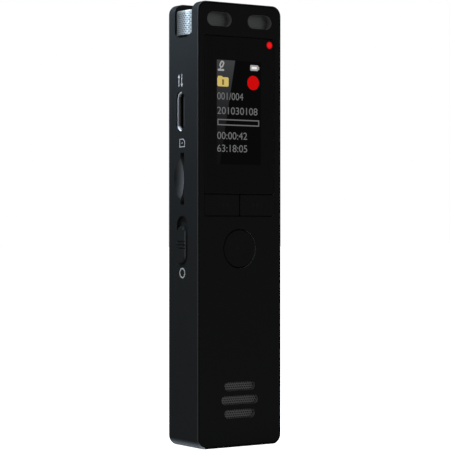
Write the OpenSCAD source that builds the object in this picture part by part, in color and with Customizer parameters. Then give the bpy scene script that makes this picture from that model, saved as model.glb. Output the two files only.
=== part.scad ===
// Slim stick voice recorder, standing on its lower end.
// X runs across the front, Y from the front (minus) to the back (plus), Z from the lower end up.
// All sizes are in millimetres. The origin is the middle of the lower end.

/* [Case] */
// Width across the front
case_w = 22.8; // [22.4:0.1:25]
// Depth from front to back
case_d = 12; // [11.8:0.1:13.5]
// Length of the stick
case_h = 100; // [98:0.5:112]
// Radius of the four corners seen from the front
corner_r = 2.3; // [1.8:0.1:3]
// Thickness of the two side walls
side_wall = 1.3; // [1.1:0.05:1.5]
// Thickness of the back wall
back_wall = 1.2; // [1:0.05:1.4]
// Thickness of the lower end wall
end_wall = 1.5; // [1.2:0.1:2]
// Metal rim left round the front panel
rim_w = 0.35; // [0.25:0.05:0.5]
// Chamfer on the front edge of the case
front_chamfer = 0.15; // [0.1:0.05:0.3]
// Chamfer on the back edge of the case
back_chamfer = 0.1; // [0.1:0.05:0.3]
// How much of the lower end's rounding is ground off, so that it stands flat
foot_flat = 0.04; // [0.02:0.01:0.08]

/* [Front panel and lens] */
// Thickness of the front panel
panel_t = 1; // [0.9:0.05:1.2]
// Width of the display lens
lens_w = 19; // [18.4:0.1:19.4]
// Height of the display lens
lens_h = 35.4; // [34:0.1:36]
// Thickness of the display lens
lens_t = 0.75; // [0.6:0.05:0.8]
// How far the lens stands proud of the panel
lens_proud = 0.05; // [0:0.05:0.15]
// Distance from the top of the case to the top of the lens
lens_drop = 7.6; // [7.4:0.1:9]
// Height of the two keys under the lens
search_key_h = 4.8; // [4.2:0.1:5.4]
// Radius of the round play key
play_key_r = 4.25; // [3.6:0.05:4.6]
// Distance from the lower edge of the search keys to the middle of the play key
play_key_drop = 7.4; // [6.8:0.1:9]
// How far a front key travels
front_key_travel = 0.3; // [0.2:0.05:0.4]

/* [Microphones] */
// Depth of the channel cut across the top
channel_h = 7.3; // [6.8:0.1:7.5]
// Width of the channel from front to back
channel_w = 7; // [6.4:0.1:7.2]
// Thickness of the shelf under the channel
shelf_t = 0.8; // [0.6:0.05:1]
// Gap between the top of the case and the top of the microphone cage
cage_drop = 1.8; // [1.4:0.1:2.4]
// How far the cage stands out of each side
cage_proud = 0.5; // [0.2:0.1:0.6]
// Corner radius of the cage seen from above
cage_r = 2.2; // [1.5:0.1:2.6]
// Sheet thickness of the cage
cage_t = 0.3; // [0.2:0.05:0.4]
// Width of each oval window in front of a microphone
window_w = 6.7; // [6:0.1:7.2]
// Height of each oval window
window_h = 3.2; // [2.8:0.1:3.4]
// Distance of each window from the middle of the front
window_x = 5.5; // [5.2:0.1:5.8]
// Distance from the top of the case to the middle of the windows
window_drop = 3.9; // [3.6:0.1:4.4]
// Diameter of a microphone capsule
capsule_d = 4; // [3.6:0.1:4.2]

/* [Speaker] */
// Height of the middle sound slot above the lower end
speaker_z = 10.55; // [10:0.1:12]
// Distance between the sound slots
slot_pitch = 3.1; // [2.9:0.1:3.3]
// Width of the middle sound slot
slot_w = 10; // [8:0.1:10.6]
// Height of a sound slot
slot_h = 1.95; // [1.6:0.05:2.2]
// How much shorter the outer sound slots are
slot_step = 1.7; // [1:0.1:2.4]
// Width of the speaker
speaker_w = 15; // [13.5:0.1:15.6]
// Height of the speaker
speaker_h = 11; // [10.6:0.1:11.4]

/* [Left side] */
// Distance from the top of the case to the middle of the charging port
usb_drop = 24.4; // [23.6:0.1:26]
// Distance from the top of the case to the middle of the card slot
card_drop = 39.6; // [39:0.1:41]
// Radius of the finger scoop beside the card slot
scoop_r = 5.4; // [4.6:0.1:5.8]
// Depth of the finger scoop
scoop_depth = 1.25; // [0.8:0.05:1.3]
// Distance from the top of the case to the middle of the record slider at rest
slider_drop = 54.5; // [54:0.1:56]
// Length of the record slider
slider_l = 8.35; // [7:0.1:9]
// Width of the record slider
slider_w = 3.7; // [3.2:0.1:4]
// How far the record slider travels
slider_travel = 2.2; // [1.6:0.1:2.4]
// How far the slider and the side keys stand out of the case
control_proud = 0.5; // [0.3:0.05:0.6]

/* [Right side] */
// Distance from the top of the case to the middle of the headphone jack
jack_drop = 15.8; // [15.6:0.1:17]
// Radius of the headphone bore
jack_bore_r = 1.8; // [1.78:0.01:1.85]
// Length of the headphone bore
jack_bore_l = 12.2; // [11.8:0.1:12.6]
// Gap between the headphone jack and the back wall
jack_back_gap = 0.3; // [0.1:0.05:0.8]
// Distance from the top of the case to the middle of the menu key
menu_drop = 29.5; // [29:0.1:31]
// Distance from the top of the case to the middle of the volume up key
volume_drop = 39.5; // [39:0.1:41]
// Distance between the two volume keys
volume_pitch = 8.5; // [8:0.1:9.5]
// Length of a side key
side_key_l = 6.5; // [5.5:0.1:6.8]
// Width of a side key
side_key_w = 2.4; // [2:0.1:2.5]
// How far a side key travels
side_key_travel = 0.3; // [0.2:0.05:0.35]

/* [Inside] */
// Distance from the front of the case to the front of the circuit board
board_depth = 4.7; // [4.6:0.05:4.9]
// Thickness of the circuit board
board_t = 0.8; // [0.6:0.1:1]
// Width of the circuit board
board_w = 18.2; // [17.4:0.1:18.2]
// Room kept between the battery cell and the charging port above it
cell_top_room = 4.1; // [3.8:0.1:10]
// Width of the battery cell
cell_w = 17; // [14:0.1:17.4]
// Thickness of the foam pad behind the battery
pad_t = 0.2; // [0.1:0.05:0.3]
// Radius of the screw shanks
screw_r = 0.6; // [0.5:0.05:0.7]

/* [Fits] */
// Gap between pieces that are dropped in
fit_gap = 0.1; // [0.05:0.01:0.12]
// Gap round a moving key or slider
key_gap = 0.15; // [0.1:0.01:0.2]

/* [Hidden] */
$fn = 64;
over = 0.5;
bite = 0.1;
tiny = 0.001;

// Case planes
front_y = -case_d / 2;
back_y = case_d / 2;
side_x = case_w / 2;
inner_x = side_x - side_wall;
inner_back_y = back_y - back_wall;
panel_back_y = front_y + panel_t;

// Microphone channel and the cavity under its shelf
channel_floor_z = case_h - channel_h;
front_wall_t = 2.4;
channel_front_y = front_y + front_wall_t;
channel_mid_y = channel_front_y + channel_w / 2;
channel_corner_r = 0.8;
cavity_top_z = channel_floor_z - shelf_t;
cavity_r = 1;
cage_top_z = case_h - cage_drop;
cage_h = cage_top_z - channel_floor_z;
cage_d = channel_w - 2 * fit_gap;
window_z = case_h - window_drop;
mic_hole_r = 1.4;
capsule_gap = 0.5;
capsule_l = 2.4;
capsule_z = channel_floor_z + capsule_gap + capsule_d / 2;
capsule_offset = 1.9;
capsule_y = channel_mid_y - capsule_offset;
boot_wall = 0.45;
mic_lead_r = 0.25;
mic_lead_x = 0.8;
mic_lead_end_z = channel_floor_z + capsule_gap;

// Lens and keys on the front
lens_r = 0.5;
lens_bevel = 0.15;
lens_top_z = case_h - lens_drop;
lens_bottom_z = lens_top_z - lens_h;
lens_z = lens_top_z - lens_h / 2;
lens_front_y = front_y - lens_proud;
lens_back_y = lens_front_y + lens_t;
opening_w = lens_w + 2 * fit_gap;
search_key_parting = 0.24;
search_key_w = (lens_w - search_key_parting) / 2;
search_key_x = (lens_w - search_key_w) / 2;
search_key_z = lens_bottom_z - key_gap - search_key_h / 2;
search_key_bottom_z = search_key_z - search_key_h / 2;
play_key_z = search_key_bottom_z - play_key_drop;
key_bevel = 0.12;
key_r = 0.3;
flange_t = 0.5;
flange_lip = 0.45;
flange_gap = 0.05;
flange_front_y = panel_back_y + flange_gap;
flange_back_y = flange_front_y + flange_t;
flange_room = 0.25;
flange_middle_gap = 0.1;
play_ring_gap = 0.25;

// Red record light in the corner of the lens
led_inset_x = 1.3;
led_inset_z = 1.4;
led_x = lens_w / 2 - led_inset_x;
led_z = lens_top_z - led_inset_z;
led_r = 0.8;
led_stem_r = 0.45;
led_gap = 0.03;
led_stem_gap = 0.05;
led_chip_w = 1.6;
led_chip_h = 0.8;
led_chip_t = 0.6;
led_room = 0.3;

// Circuit board
board_front_y = front_y + board_depth;
board_back_y = board_front_y + board_t;
board_top_gap = 0.5;
board_bottom_gap = 1.35;
board_top_z = cavity_top_z - board_top_gap;
board_bottom_z = speaker_z + speaker_h / 2 + board_bottom_gap;
mic_lead_lap = 1.5;
mic_lead_start_z = board_top_z - mic_lead_lap;

// Chips on the back of the board
chip_t = 0.9;
main_chip_w = 6.5;
main_chip_x = 1.1;
memory_chip_w = 9;
memory_chip_h = 7;

// Middle frame
frame_x = inner_x - fit_gap;
frame_bottom_z = end_wall + fit_gap;
frame_top_gap = 0.2;
frame_top_z = cavity_top_z - frame_top_gap;
frame_h = frame_top_z - frame_bottom_z;
frame_z = (frame_top_z + frame_bottom_z) / 2;
pad_lift = 0.6;
pad_bottom_z = lens_bottom_z + pad_lift;
pad_margin = 0.2;

// Display behind the lens
screen_w = 12.06;
screen_h = 23.4;
screen_drop = 17.1;
screen_z = lens_top_z - screen_drop;
module_w = 14.6;
module_h = 28.4;
module_shift = 1.1;
module_z = screen_z - module_shift;
module_top_z = module_z + module_h / 2;
module_bottom_z = module_z - module_h / 2;
glass_t = 0.9;
backlight_t = 0.9;
glass_gap = 0.05;
glass_front_y = lens_back_y + glass_gap;
glass_back_y = glass_front_y + glass_t;
glass_ledge = 2.5;
backlight_back_y = glass_back_y + backlight_t;
display_floor_y = backlight_back_y + fit_gap;
flex_t = 0.15;
flex_w = 7;
flex_room = 0.7;
flex_lap = 0.3;
fold_drop = 0.5;
fold_spare = 0.3;
fold_room = fold_drop + fold_spare;
connector_w = 9;
connector_h = 2;
connector_t = 0.95;
connector_lift = 0.1;
connector_z = module_bottom_z + glass_ledge + connector_lift;
flex_slot_top_z = connector_z + connector_h / 2 + fold_spare;

// Tact switches: a can with a plunger that rides with its key
can_t = 1.1;
can_w = 4.2;
can_h = 3.2;
plunger_r = 0.7;
plunger_out = 0.5;
plunger_in = 0.45;
plunger_gap = 0.05;
can_room = 0.3;
can_front_y = board_front_y - can_t;
plunger_tip_y = can_front_y - plunger_out;
key_stem_r = 0.8;
side_can_x = 8.5;
side_can_d = 1.9;
side_can_l = 3.6;
side_can_t = 1.7;
side_plunger_r = 0.5;
side_plunger_in = 0.5;
side_plunger_room = 0.1;
side_stem_r = 0.6;
side_flange_t = 0.45;
side_flange_lip = 0.35;
side_flange_x = inner_x - flange_gap;
side_stem_gap = 0.5;
side_stem_tip_x = side_can_x + side_stem_gap;

// Controls on the two sides share one height over the board
control_rise = 0.9;
control_y = board_back_y + control_rise;
control_x = side_x + control_proud;
track_depth = 0.7;
track_gap = 0.2;
track_spare_w = 0.3;
track_w = slider_w + 2 * track_gap + track_spare_w;
track_l = slider_l + slider_travel + 2 * track_gap;
slider_z = case_h - slider_drop;
track_z = slider_z + slider_travel / 2;
slider_foot_l = 2.4;
slider_foot_w = 1.5;
slider_gap = 0.05;
slider_foot_gap = 0.02;
cap_bevel = 0.25;
lever_w = 0.9;
lever_gap = 0.06;
lever_inset = 0.8;
lever_end_gap = 0.2;
housing_x = inner_x - fit_gap;
housing_d = 3.4;
housing_l = 8;
housing_mouth_d = 1.6;

// Charging port
usb_l = 8.94;
usb_w = 3.2;
usb_t = 0.3;
usb_depth = 7.3;
usb_recess = 0.3;
usb_gap = 0.06;
usb_z = case_h - usb_drop;
usb_y = board_back_y + usb_w / 2;
tongue_w = 6.7;
tongue_t = 0.7;
tongue_recess = 0.8;

// Memory card socket
card_z = case_h - card_drop;
card_w = 11.2;
card_t = 0.85;
card_slit_l = 11.8;
card_slit_w = 1.5;
card_slit_r = 0.25;
card_rise = 0.83;
card_y = board_back_y + card_rise;
socket_l = 14;
socket_h = 13;
socket_t = 1.45;
socket_end_wall = 1;
scoop_shift = 2.65;
scoop_y = card_y + card_slit_w / 2 - scoop_shift;

// Side keys
menu_z = case_h - menu_drop;
volume_up_z = case_h - volume_drop;
volume_down_z = volume_up_z - volume_pitch;

// Headphone jack
jack_z = case_h - jack_drop;
jack_body_h = 6;
jack_body_t = inner_back_y - board_back_y - jack_back_gap;
jack_end_wall = 1;
jack_y = board_back_y + jack_body_t / 2;
jack_barrel_r = 2.5;
jack_barrel_inset = 0.2;
jack_barrel_x = side_x - jack_barrel_inset;
jack_body_x = inner_x - fit_gap;

// Battery
screw_row_lift = 2.1;
screw_inset = 1.5;
top_screw_drop = 1.1;
screw_row_z = board_bottom_z + screw_row_lift;
screw_x = board_w / 2 - screw_inset;
top_screw_z = board_top_z - top_screw_drop;
post_r = 1.3;
cell_post_gap = 1.2;
cell_bottom_z = screw_row_z + post_r + cell_post_gap;
cell_board_gap = 2.2;
cell_y = board_back_y + cell_board_gap;
cell_t = inner_back_y - pad_t - cell_y;
cell_top_z = usb_z - usb_l / 2 - cell_top_room;
cell_h = cell_top_z - cell_bottom_z;
cell_r = 1.2;
cell_bevel = 0.4;
pad_inset_x = 2;
pad_inset_z = 4;
battery_board_w = 12;
battery_board_h = 2.4;
battery_board_t = 0.8;
battery_board_inset = 0.6;
battery_board_gap = 0.2;
battery_board_y = cell_y + battery_board_inset;
battery_board_z = cell_top_z + battery_board_gap;
battery_lead_r = 0.4;
battery_lead_x = 4.5;

// Speaker
speaker_mesh_t = 0.25;
speaker_gasket_t = 0.2;
speaker_front_y = panel_back_y + speaker_mesh_t + speaker_gasket_t;
speaker_gap = 0.3;
speaker_back_y = board_front_y - speaker_gap;
speaker_r = 2;
gasket_inset = 0.2;
gasket_w = 1.6;
mesh_margin = 1.2;
mesh_margin_z = 0.8;
mesh_w = slot_w + 2 * mesh_margin;
mesh_h = 2 * slot_pitch + slot_h + 2 * mesh_margin_z;
mesh_corner_r = 0.7;
slot_end_flat = 0.1;
magnet_w = 9;
magnet_h = 6;
magnet_t = 0.9;
basket_rim = 0.7;
basket_depth = 0.8;
cone_t = 0.2;
cone_drop = 0.5;
dome_margin_x = 3;
dome_margin_z = 2.5;
dome_w = speaker_w - 2 * dome_margin_x;
dome_h = speaker_h - 2 * dome_margin_z;
dome_rise = 0.3;

// Screws
screw_head_r = 1.1;
screw_head_t = 0.7;
screw_head_depth = 2;
screw_head_y = panel_back_y + screw_head_depth;
screw_l = 4.6;
screw_gap = 0.03;
screw_hole_spare = 0.2;
cross_l = 0.8;
cross_w = 0.14;
cross_depth = 0.4;

// ---- Shapes used by many pieces ----

// Flat rounded rectangle; a stadium where r is half of its height
module rounded(w, h, r) {
    square([w - 2 * r, h], center = true);
    if (h - 2 * r > tiny)
        square([w, h - 2 * r], center = true);
    for (sx = [-1, 1])
        if (h - 2 * r > tiny)
            for (sy = [-1, 1])
                translate([sx * (w / 2 - r), sy * (h / 2 - r)]) circle(r);
        else
            translate([sx * (w / 2 - r), 0]) circle(r);
}

// Extrudes a profile drawn in X and Z from y = 0 to y = t
module along_y(t) {
    rotate([90, 0, 0]) translate([0, 0, -t]) linear_extrude(t) children();
}

// Extrudes a profile drawn in Y and Z from x = 0 to x = t
module along_x(t) {
    rotate([90, 0, 90]) linear_extrude(t) children();
}

// The sloping layer of a bevelled slab: full size at y = 0, smaller by c all round at y = -c
module bevel_layer(w, h, r, c) {
    for (sx = [-1, 1])
        for (sz = h - 2 * r > tiny ? [-1, 1] : [0])
            translate([sx * (w / 2 - r), 0, sz * (h / 2 - r)])
                rotate([90, 0, 0]) cylinder(h = c, r1 = r, r2 = r - c);
    translate([-(w - 2 * r) / 2, 0, 0])
        along_x(w - 2 * r)
            polygon([[0, -h / 2], [0, h / 2], [-c, h / 2 - c], [-c, c - h / 2]]);
    if (h - 2 * r > tiny)
        translate([0, 0, -(h - 2 * r) / 2])
            linear_extrude(h - 2 * r)
                polygon([[-w / 2, 0], [w / 2, 0], [w / 2 - c, -c], [c - w / 2, -c]]);
}

// Rounded plate from y = 0 to y = t, with an optional bevel on its front and back edges
module slab(w, h, t, r, front = 0, back = 0) {
    translate([0, front, 0]) along_y(t - front - back) rounded(w, h, r);
    if (front > 0)
        translate([0, front, 0]) bevel_layer(w, h, r, front);
    if (back > 0)
        translate([0, t - back, 0]) mirror([0, 1, 0]) bevel_layer(w, h, r, back);
}

// The same plate facing sideways: its front is at x = 0 and it runs to x = -t
module side_slab(l, w, t, r, front = 0) {
    rotate([0, 0, 90]) slab(w, l, t, r, front);
}

// Round bar from y0 to y1
module bar_y(x, z, r, y0, y1) {
    translate([x, y1, z]) rotate([90, 0, 0]) cylinder(h = y1 - y0, r = r);
}

// Round bar from x0 to x1
module bar_x(y, z, r, x0, x1) {
    translate([x0, y, z]) rotate([0, 90, 0]) cylinder(h = x1 - x0, r = r);
}

// Box given by its two corners
module block(low, high) {
    translate(low) cube(high - low);
}

// Both microphone windows, cut from y0 to y1
module mic_windows(y0, y1) {
    for (sx = [-1, 1])
        translate([sx * window_x, y0, window_z])
            along_y(y1 - y0) rounded(window_w, window_h, window_h / 2);
}

// The three sound slots
module sound_slots(y0, y1) {
    for (i = [-1:1])
        translate([0, y0, speaker_z + i * slot_pitch])
            along_y(y1 - y0) rounded(slot_w - abs(i) * slot_step, slot_h, slot_h / 2 - slot_end_flat);
}

// Runs its children at each screw
module at_screws() {
    translate([0, 0, top_screw_z]) children();
    for (sx = [-1, 1])
        translate([sx * screw_x, 0, screw_row_z]) children();
}

// ---- Case ----

module case_body() {
    intersection() {
        translate([0, front_y, (case_h - foot_flat) / 2])
            slab(case_w, case_h + foot_flat, case_d, corner_r, front_chamfer, back_chamfer);
        block([-side_x - over, front_y - over, 0], [side_x + over, back_y + over, case_h + over]);
    }
}

module case_cavity() {
    cavity_h = cavity_top_z - end_wall;
    translate([0, panel_back_y - over, end_wall + cavity_h / 2])
        along_y(inner_back_y - panel_back_y + over)
            rounded(2 * inner_x, cavity_h, cavity_r);
}

module panel_recess() {
    translate([0, front_y - over, case_h / 2])
        along_y(panel_t + over)
            rounded(case_w - 2 * rim_w, case_h - 2 * rim_w, corner_r - rim_w);
}

// Section of the channel, and of what stands in it, with rounded lower corners
module channel_section(w, h, r) {
    translate([-w / 2, r]) square([w, h - r]);
    translate([r - w / 2, 0]) square([w - 2 * r, h]);
    for (sy = [-1, 1])
        translate([sy * (w / 2 - r), r]) circle(r);
}

// Channel across the top
module mic_channel() {
    translate([-side_x - over, channel_mid_y, channel_floor_z])
        along_x(case_w + 2 * over) channel_section(channel_w, channel_h + over, channel_corner_r);
}

// Slit for the memory card and the finger scoop behind it
module card_cut() {
    translate([-side_x - over, card_y, card_z])
        along_x(side_wall + 2 * over) rounded(card_slit_w, card_slit_l, card_slit_r);
    ball_r = (scoop_r * scoop_r + scoop_depth * scoop_depth) / (2 * scoop_depth);
    intersection() {
        translate([scoop_depth - side_x - ball_r, scoop_y, card_z]) sphere(ball_r);
        block([-side_x - over, card_y, card_z - scoop_r], [-inner_x, back_y, card_z + scoop_r]);
    }
}

// Track and foot slot of the record slider
module slider_cut() {
    translate([-side_x - over, control_y, track_z])
        along_x(track_depth + over) rounded_upright(track_w, track_l);
    foot_room_l = slider_foot_l + slider_travel + 2 * track_gap;
    translate([-side_x, control_y, track_z])
        along_x(side_wall + over)
            square([slider_foot_w + 2 * track_gap, foot_room_l], center = true);
}

// Upright stadium
module rounded_upright(w, l) {
    square([w, l - w], center = true);
    for (s = [-1, 1])
        translate([0, s * (l - w) / 2]) circle(w / 2);
}

module side_key_holes() {
    for (z = [menu_z, volume_up_z, volume_down_z])
        translate([inner_x - over, control_y, z])
            along_x(side_wall + 2 * over)
                rounded_upright(side_key_w + 2 * key_gap, side_key_l + 2 * key_gap);
}

module case_shell() {
    color("#2b2f33")
    difference() {
        union() {
            difference() {
                case_body();
                case_cavity();
            }
            at_screws() bar_y(0, 0, post_r, board_back_y, inner_back_y + over);
        }
        panel_recess();
        mic_channel();
        mic_windows(front_y, channel_front_y + over);
        translate([-side_x - over, usb_y, usb_z])
            along_x(side_wall + 2 * over)
                rounded_upright(usb_w + 2 * usb_gap, usb_l + 2 * usb_gap);
        card_cut();
        slider_cut();
        side_key_holes();
        bar_x(jack_y, jack_z, jack_barrel_r + fit_gap, inner_x - over, side_x + over);
        at_screws()
            bar_y(0, 0, screw_r + screw_gap, board_back_y - over,
                  screw_head_y + screw_head_t + screw_l + screw_hole_spare);
        for (sx = [-1, 1])
            translate([sx * window_x, channel_mid_y, cavity_top_z - over])
                cylinder(h = shelf_t + 2 * over, r = mic_hole_r);
    }
}

// ---- Front ----

module front_panel() {
    panel_gap = 0.05;
    panel_bevel = 0.1;
    opening_top_z = lens_top_z + fit_gap;
    opening_bottom_z = search_key_bottom_z - key_gap;
    color("#101010")
    difference() {
        translate([0, front_y, case_h / 2])
            slab(case_w - 2 * rim_w - 2 * panel_gap, case_h - 2 * rim_w - 2 * panel_gap,
                 panel_t, corner_r - rim_w - panel_gap, panel_bevel);
        translate([0, front_y - over, (opening_top_z + opening_bottom_z) / 2])
            along_y(panel_t + 2 * over)
                rounded(opening_w, opening_top_z - opening_bottom_z, lens_r);
        bar_y(0, play_key_z, play_key_r + play_ring_gap, front_y - over, panel_back_y + over);
        mic_windows(front_y - over, panel_back_y + over);
        sound_slots(front_y - over, panel_back_y + over);
    }
}

module display_lens() {
    color("#0b0b0c")
    difference() {
        translate([0, lens_front_y, lens_z])
            slab(lens_w, lens_h, lens_t, lens_r, lens_bevel);
        bar_y(led_x, led_z, led_r + led_gap, lens_front_y - over, lens_back_y + over);
    }
}

// Moulded frame that carries the lens, the display, the keys and the speaker
module mid_frame() {
    key_pocket_y = flange_back_y + front_key_travel + flange_room;
    stem_room_r = key_stem_r + can_room;
    color("#1c1c1e")
    difference() {
        union() {
            translate([0, panel_back_y, frame_z])
                along_y(board_front_y - panel_back_y) rounded(2 * frame_x, frame_h, cavity_r);
            block([-lens_w / 2 + pad_margin, lens_back_y, pad_bottom_z],
                  [lens_w / 2 - pad_margin, panel_back_y + over, frame_top_z]);
        }
        // Display pocket and the slot that its ribbon passes through
        block([-module_w / 2 - fit_gap, lens_back_y - over, module_bottom_z - fold_room],
              [module_w / 2 + fit_gap, display_floor_y, module_top_z + fit_gap]);
        block([-connector_w / 2 - flex_room, display_floor_y - over, module_bottom_z - fold_room],
              [connector_w / 2 + flex_room, board_front_y + over, flex_slot_top_z]);
        // Pocket of the two search keys
        block([-lens_w / 2 - fit_gap, panel_back_y - over, search_key_bottom_z - flange_lip - key_gap],
              [lens_w / 2 + fit_gap, key_pocket_y, pad_bottom_z]);
        // Pocket of the play key
        bar_y(0, play_key_z, play_key_r + flange_lip + key_gap, panel_back_y - over, key_pocket_y);
        // Holes for the key stems and the switches under them
        for (p = [[-search_key_x, search_key_z], [search_key_x, search_key_z], [0, play_key_z]]) {
            bar_y(p[0], p[1], stem_room_r, key_pocket_y - over, board_front_y + over);
            block([p[0] - can_w / 2 - can_room, can_front_y - can_room, p[1] - can_h / 2 - can_room],
                  [p[0] + can_w / 2 + can_room, board_front_y + over, p[1] + can_h / 2 + can_room]);
        }
        // Light pipe hole
        bar_y(led_x, led_z, led_stem_r + led_stem_gap, lens_back_y - over, board_front_y + over);
        block([led_x - led_chip_w / 2 - led_room, board_front_y - led_chip_t - fit_gap, led_z - led_chip_h / 2 - led_room],
              [led_x + led_chip_w / 2 + led_room, board_front_y + over, led_z + led_chip_h / 2 + led_room]);
        // Speaker pocket with its mesh seat in front
        translate([0, speaker_front_y - speaker_gasket_t, speaker_z])
            along_y(board_front_y - speaker_front_y + speaker_gasket_t + over)
                rounded(speaker_w + 2 * fit_gap, speaker_h + 2 * fit_gap, speaker_r);
        translate([0, panel_back_y - over, speaker_z])
            along_y(over + speaker_mesh_t + fit_gap)
                rounded(mesh_w + 2 * fit_gap, mesh_h + 2 * fit_gap, mesh_corner_r + fit_gap);
        // Screw holes and head pockets
        at_screws() {
            bar_y(0, 0, screw_r + fit_gap, panel_back_y - over, board_front_y + over);
            bar_y(0, 0, screw_head_r + fit_gap, lens_back_y - over, screw_head_y + screw_head_t);
        }
    }
}

// ---- Display ----

module display_glass() {
    color("#0a0a0a")
    block([-module_w / 2, glass_front_y, module_bottom_z],
          [module_w / 2, glass_back_y, module_top_z]);
}

module display_backlight() {
    rim = 0.5;
    light_well = 0.2;
    color("#e8e8e4")
    difference() {
        block([-module_w / 2, glass_back_y, module_bottom_z + glass_ledge],
              [module_w / 2, backlight_back_y, module_top_z]);
        block([-module_w / 2 + rim, glass_back_y - over, module_bottom_z + glass_ledge + rim],
              [module_w / 2 - rim, glass_back_y + light_well, module_top_z - rim]);
    }
}

// Ribbon from the glass ledge, folded round the lower end to the connector
module display_flex() {
    ribbon_y = board_front_y - connector_t - flex_t;
    fold_z = module_bottom_z - fold_drop;
    start_z = module_bottom_z + glass_ledge - flex_lap;
    color("#b06a1e")
    translate([-flex_w / 2, 0, 0])
        along_x(flex_w)
            polygon([
                [glass_back_y, start_z],
                [glass_back_y, fold_z],
                [ribbon_y + flex_t, fold_z],
                [ribbon_y + flex_t, connector_z + connector_h / 2],
                [ribbon_y, connector_z + connector_h / 2],
                [ribbon_y, fold_z + flex_t],
                [glass_back_y + flex_t, fold_z + flex_t],
                [glass_back_y + flex_t, start_z]
            ]);
}

module display_connector() {
    color("#d8d2c0")
    block([-connector_w / 2, board_front_y - connector_t, connector_z - connector_h / 2],
          [connector_w / 2, board_front_y, connector_z + connector_h / 2]);
}

// ---- Circuit board ----

module main_board() {
    color("#14532d")
    difference() {
        block([-board_w / 2, board_front_y, board_bottom_z], [board_w / 2, board_back_y, board_top_z]);
        at_screws() bar_y(0, 0, screw_r + fit_gap, board_front_y - over, board_back_y + over);
    }
}

module main_chip() {
    color("#18181a")
    block([main_chip_x - main_chip_w / 2, board_back_y, usb_z - main_chip_w / 2],
          [main_chip_x + main_chip_w / 2, board_back_y + chip_t, usb_z + main_chip_w / 2]);
}

module memory_chip() {
    color("#18181a")
    block([-memory_chip_w / 2, board_back_y, track_z - memory_chip_h / 2],
          [memory_chip_w / 2, board_back_y + chip_t, track_z + memory_chip_h / 2]);
}

module frame_screws() {
    color("#9aa0a6")
    at_screws()
        difference() {
            union() {
                bar_y(0, 0, screw_head_r, screw_head_y, screw_head_y + screw_head_t);
                bar_y(0, 0, screw_r, screw_head_y + fit_gap, screw_head_y + screw_head_t + screw_l);
            }
            for (a = [0, 90])
                rotate([0, a, 0])
                    block([-cross_l, screw_head_y - over, -cross_w], [cross_l, screw_head_y + cross_depth, cross_w]);
        }
}

// ---- Left side ----

module usb_shell() {
    x0 = -side_x + usb_recess;
    color("#c9ccd0")
    difference() {
        translate([x0, usb_y, usb_z]) along_x(usb_depth) rounded_upright(usb_w, usb_l);
        translate([x0 - over, usb_y, usb_z])
            along_x(usb_depth - usb_t + over)
                rounded_upright(usb_w - 2 * usb_t, usb_l - 2 * usb_t);
    }
}

module usb_tongue() {
    x0 = -side_x + usb_recess;
    base_l = 1.2;
    base_gap = 0.03;
    back_x = x0 + usb_depth - usb_t;
    color("#121212") {
        translate([back_x - base_l, usb_y, usb_z])
            along_x(base_l)
                rounded_upright(usb_w - 2 * (usb_t + base_gap), usb_l - 2 * (usb_t + base_gap));
        block([x0 + tongue_recess, usb_y - tongue_t / 2, usb_z - tongue_w / 2],
              [back_x - base_l + bite, usb_y + tongue_t / 2, usb_z + tongue_w / 2]);
    }
}

module card_socket() {
    x0 = -inner_x + fit_gap;
    color("#c0c4c8")
    difference() {
        block([x0, board_back_y, card_z - socket_h / 2], [x0 + socket_l, board_back_y + socket_t, card_z + socket_h / 2]);
        block([x0 - over, card_y - card_t / 2, card_z - card_w / 2],
              [x0 + socket_l - socket_end_wall, card_y + card_t / 2, card_z + card_w / 2]);
    }
}

module switch_housing() {
    color("#c0c4c8")
    difference() {
        block([-housing_x, board_back_y, track_z - housing_l / 2],
              [-housing_x + housing_d, control_y + control_rise, track_z + housing_l / 2]);
        block([-housing_x - over, control_y - lever_w / 2 - lever_gap, slider_z - lever_w / 2 - track_gap],
              [-housing_x + housing_mouth_d, control_y + lever_w / 2 + lever_gap, slider_z + slider_travel + lever_w / 2 + track_gap]);
    }
}

module switch_lever() {
    color("#202020")
    block([-control_x + lever_inset, control_y - lever_w / 2, slider_z - lever_w / 2],
          [-housing_x + housing_mouth_d - lever_end_gap, control_y + lever_w / 2, slider_z + lever_w / 2]);
}

module record_slider() {
    cap_back_x = -side_x + track_depth - slider_gap;
    groove_pitch = 0.75;
    groove_r = 0.2;
    color("#202325")
    difference() {
        union() {
            translate([-control_x, control_y, slider_z])
                mirror([1, 0, 0]) side_slab(slider_l, slider_w, cap_back_x + control_x, slider_w / 2 - tiny, cap_bevel);
            block([cap_back_x - bite, control_y - slider_foot_w / 2, slider_z - slider_foot_l / 2],
                  [-inner_x - slider_foot_gap, control_y + slider_foot_w / 2, slider_z + slider_foot_l / 2]);
        }
        // Socket that holds the switch lever
        block([-control_x + lever_inset - fit_gap, control_y - lever_w / 2 - lever_gap, slider_z - lever_w / 2 - lever_gap],
              [-inner_x + over, control_y + lever_w / 2 + lever_gap, slider_z + lever_w / 2 + lever_gap]);
        // Grip grooves across the middle
        for (i = [-1:1])
            translate([-control_x, control_y, slider_z + i * groove_pitch])
                rotate([90, 0, 0]) cylinder(h = slider_w + over, r = groove_r, center = true);
    }
}

// ---- Keys on the front ----

// Stem behind a front key, down to its switch plunger
module key_stem(x, z) {
    bar_y(x, z, key_stem_r, flange_back_y - bite, plunger_tip_y);
}

module search_key(sx) {
    x = sx * search_key_x;
    inner = sx * (search_key_x - search_key_w / 2 + flange_middle_gap);
    outer = sx * (search_key_x + search_key_w / 2);
    translate([x, front_y, search_key_z])
        slab(search_key_w, search_key_h, flange_front_y - front_y + bite, key_r, key_bevel);
    block([min(inner, outer), flange_front_y, search_key_bottom_z - flange_lip],
          [max(inner, outer), flange_back_y, lens_bottom_z + flange_lip]);
    key_stem(x, search_key_z);
}

module back_key() {
    color("#111111") search_key(-1);
}

module forward_key() {
    color("#111111") search_key(1);
}

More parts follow.
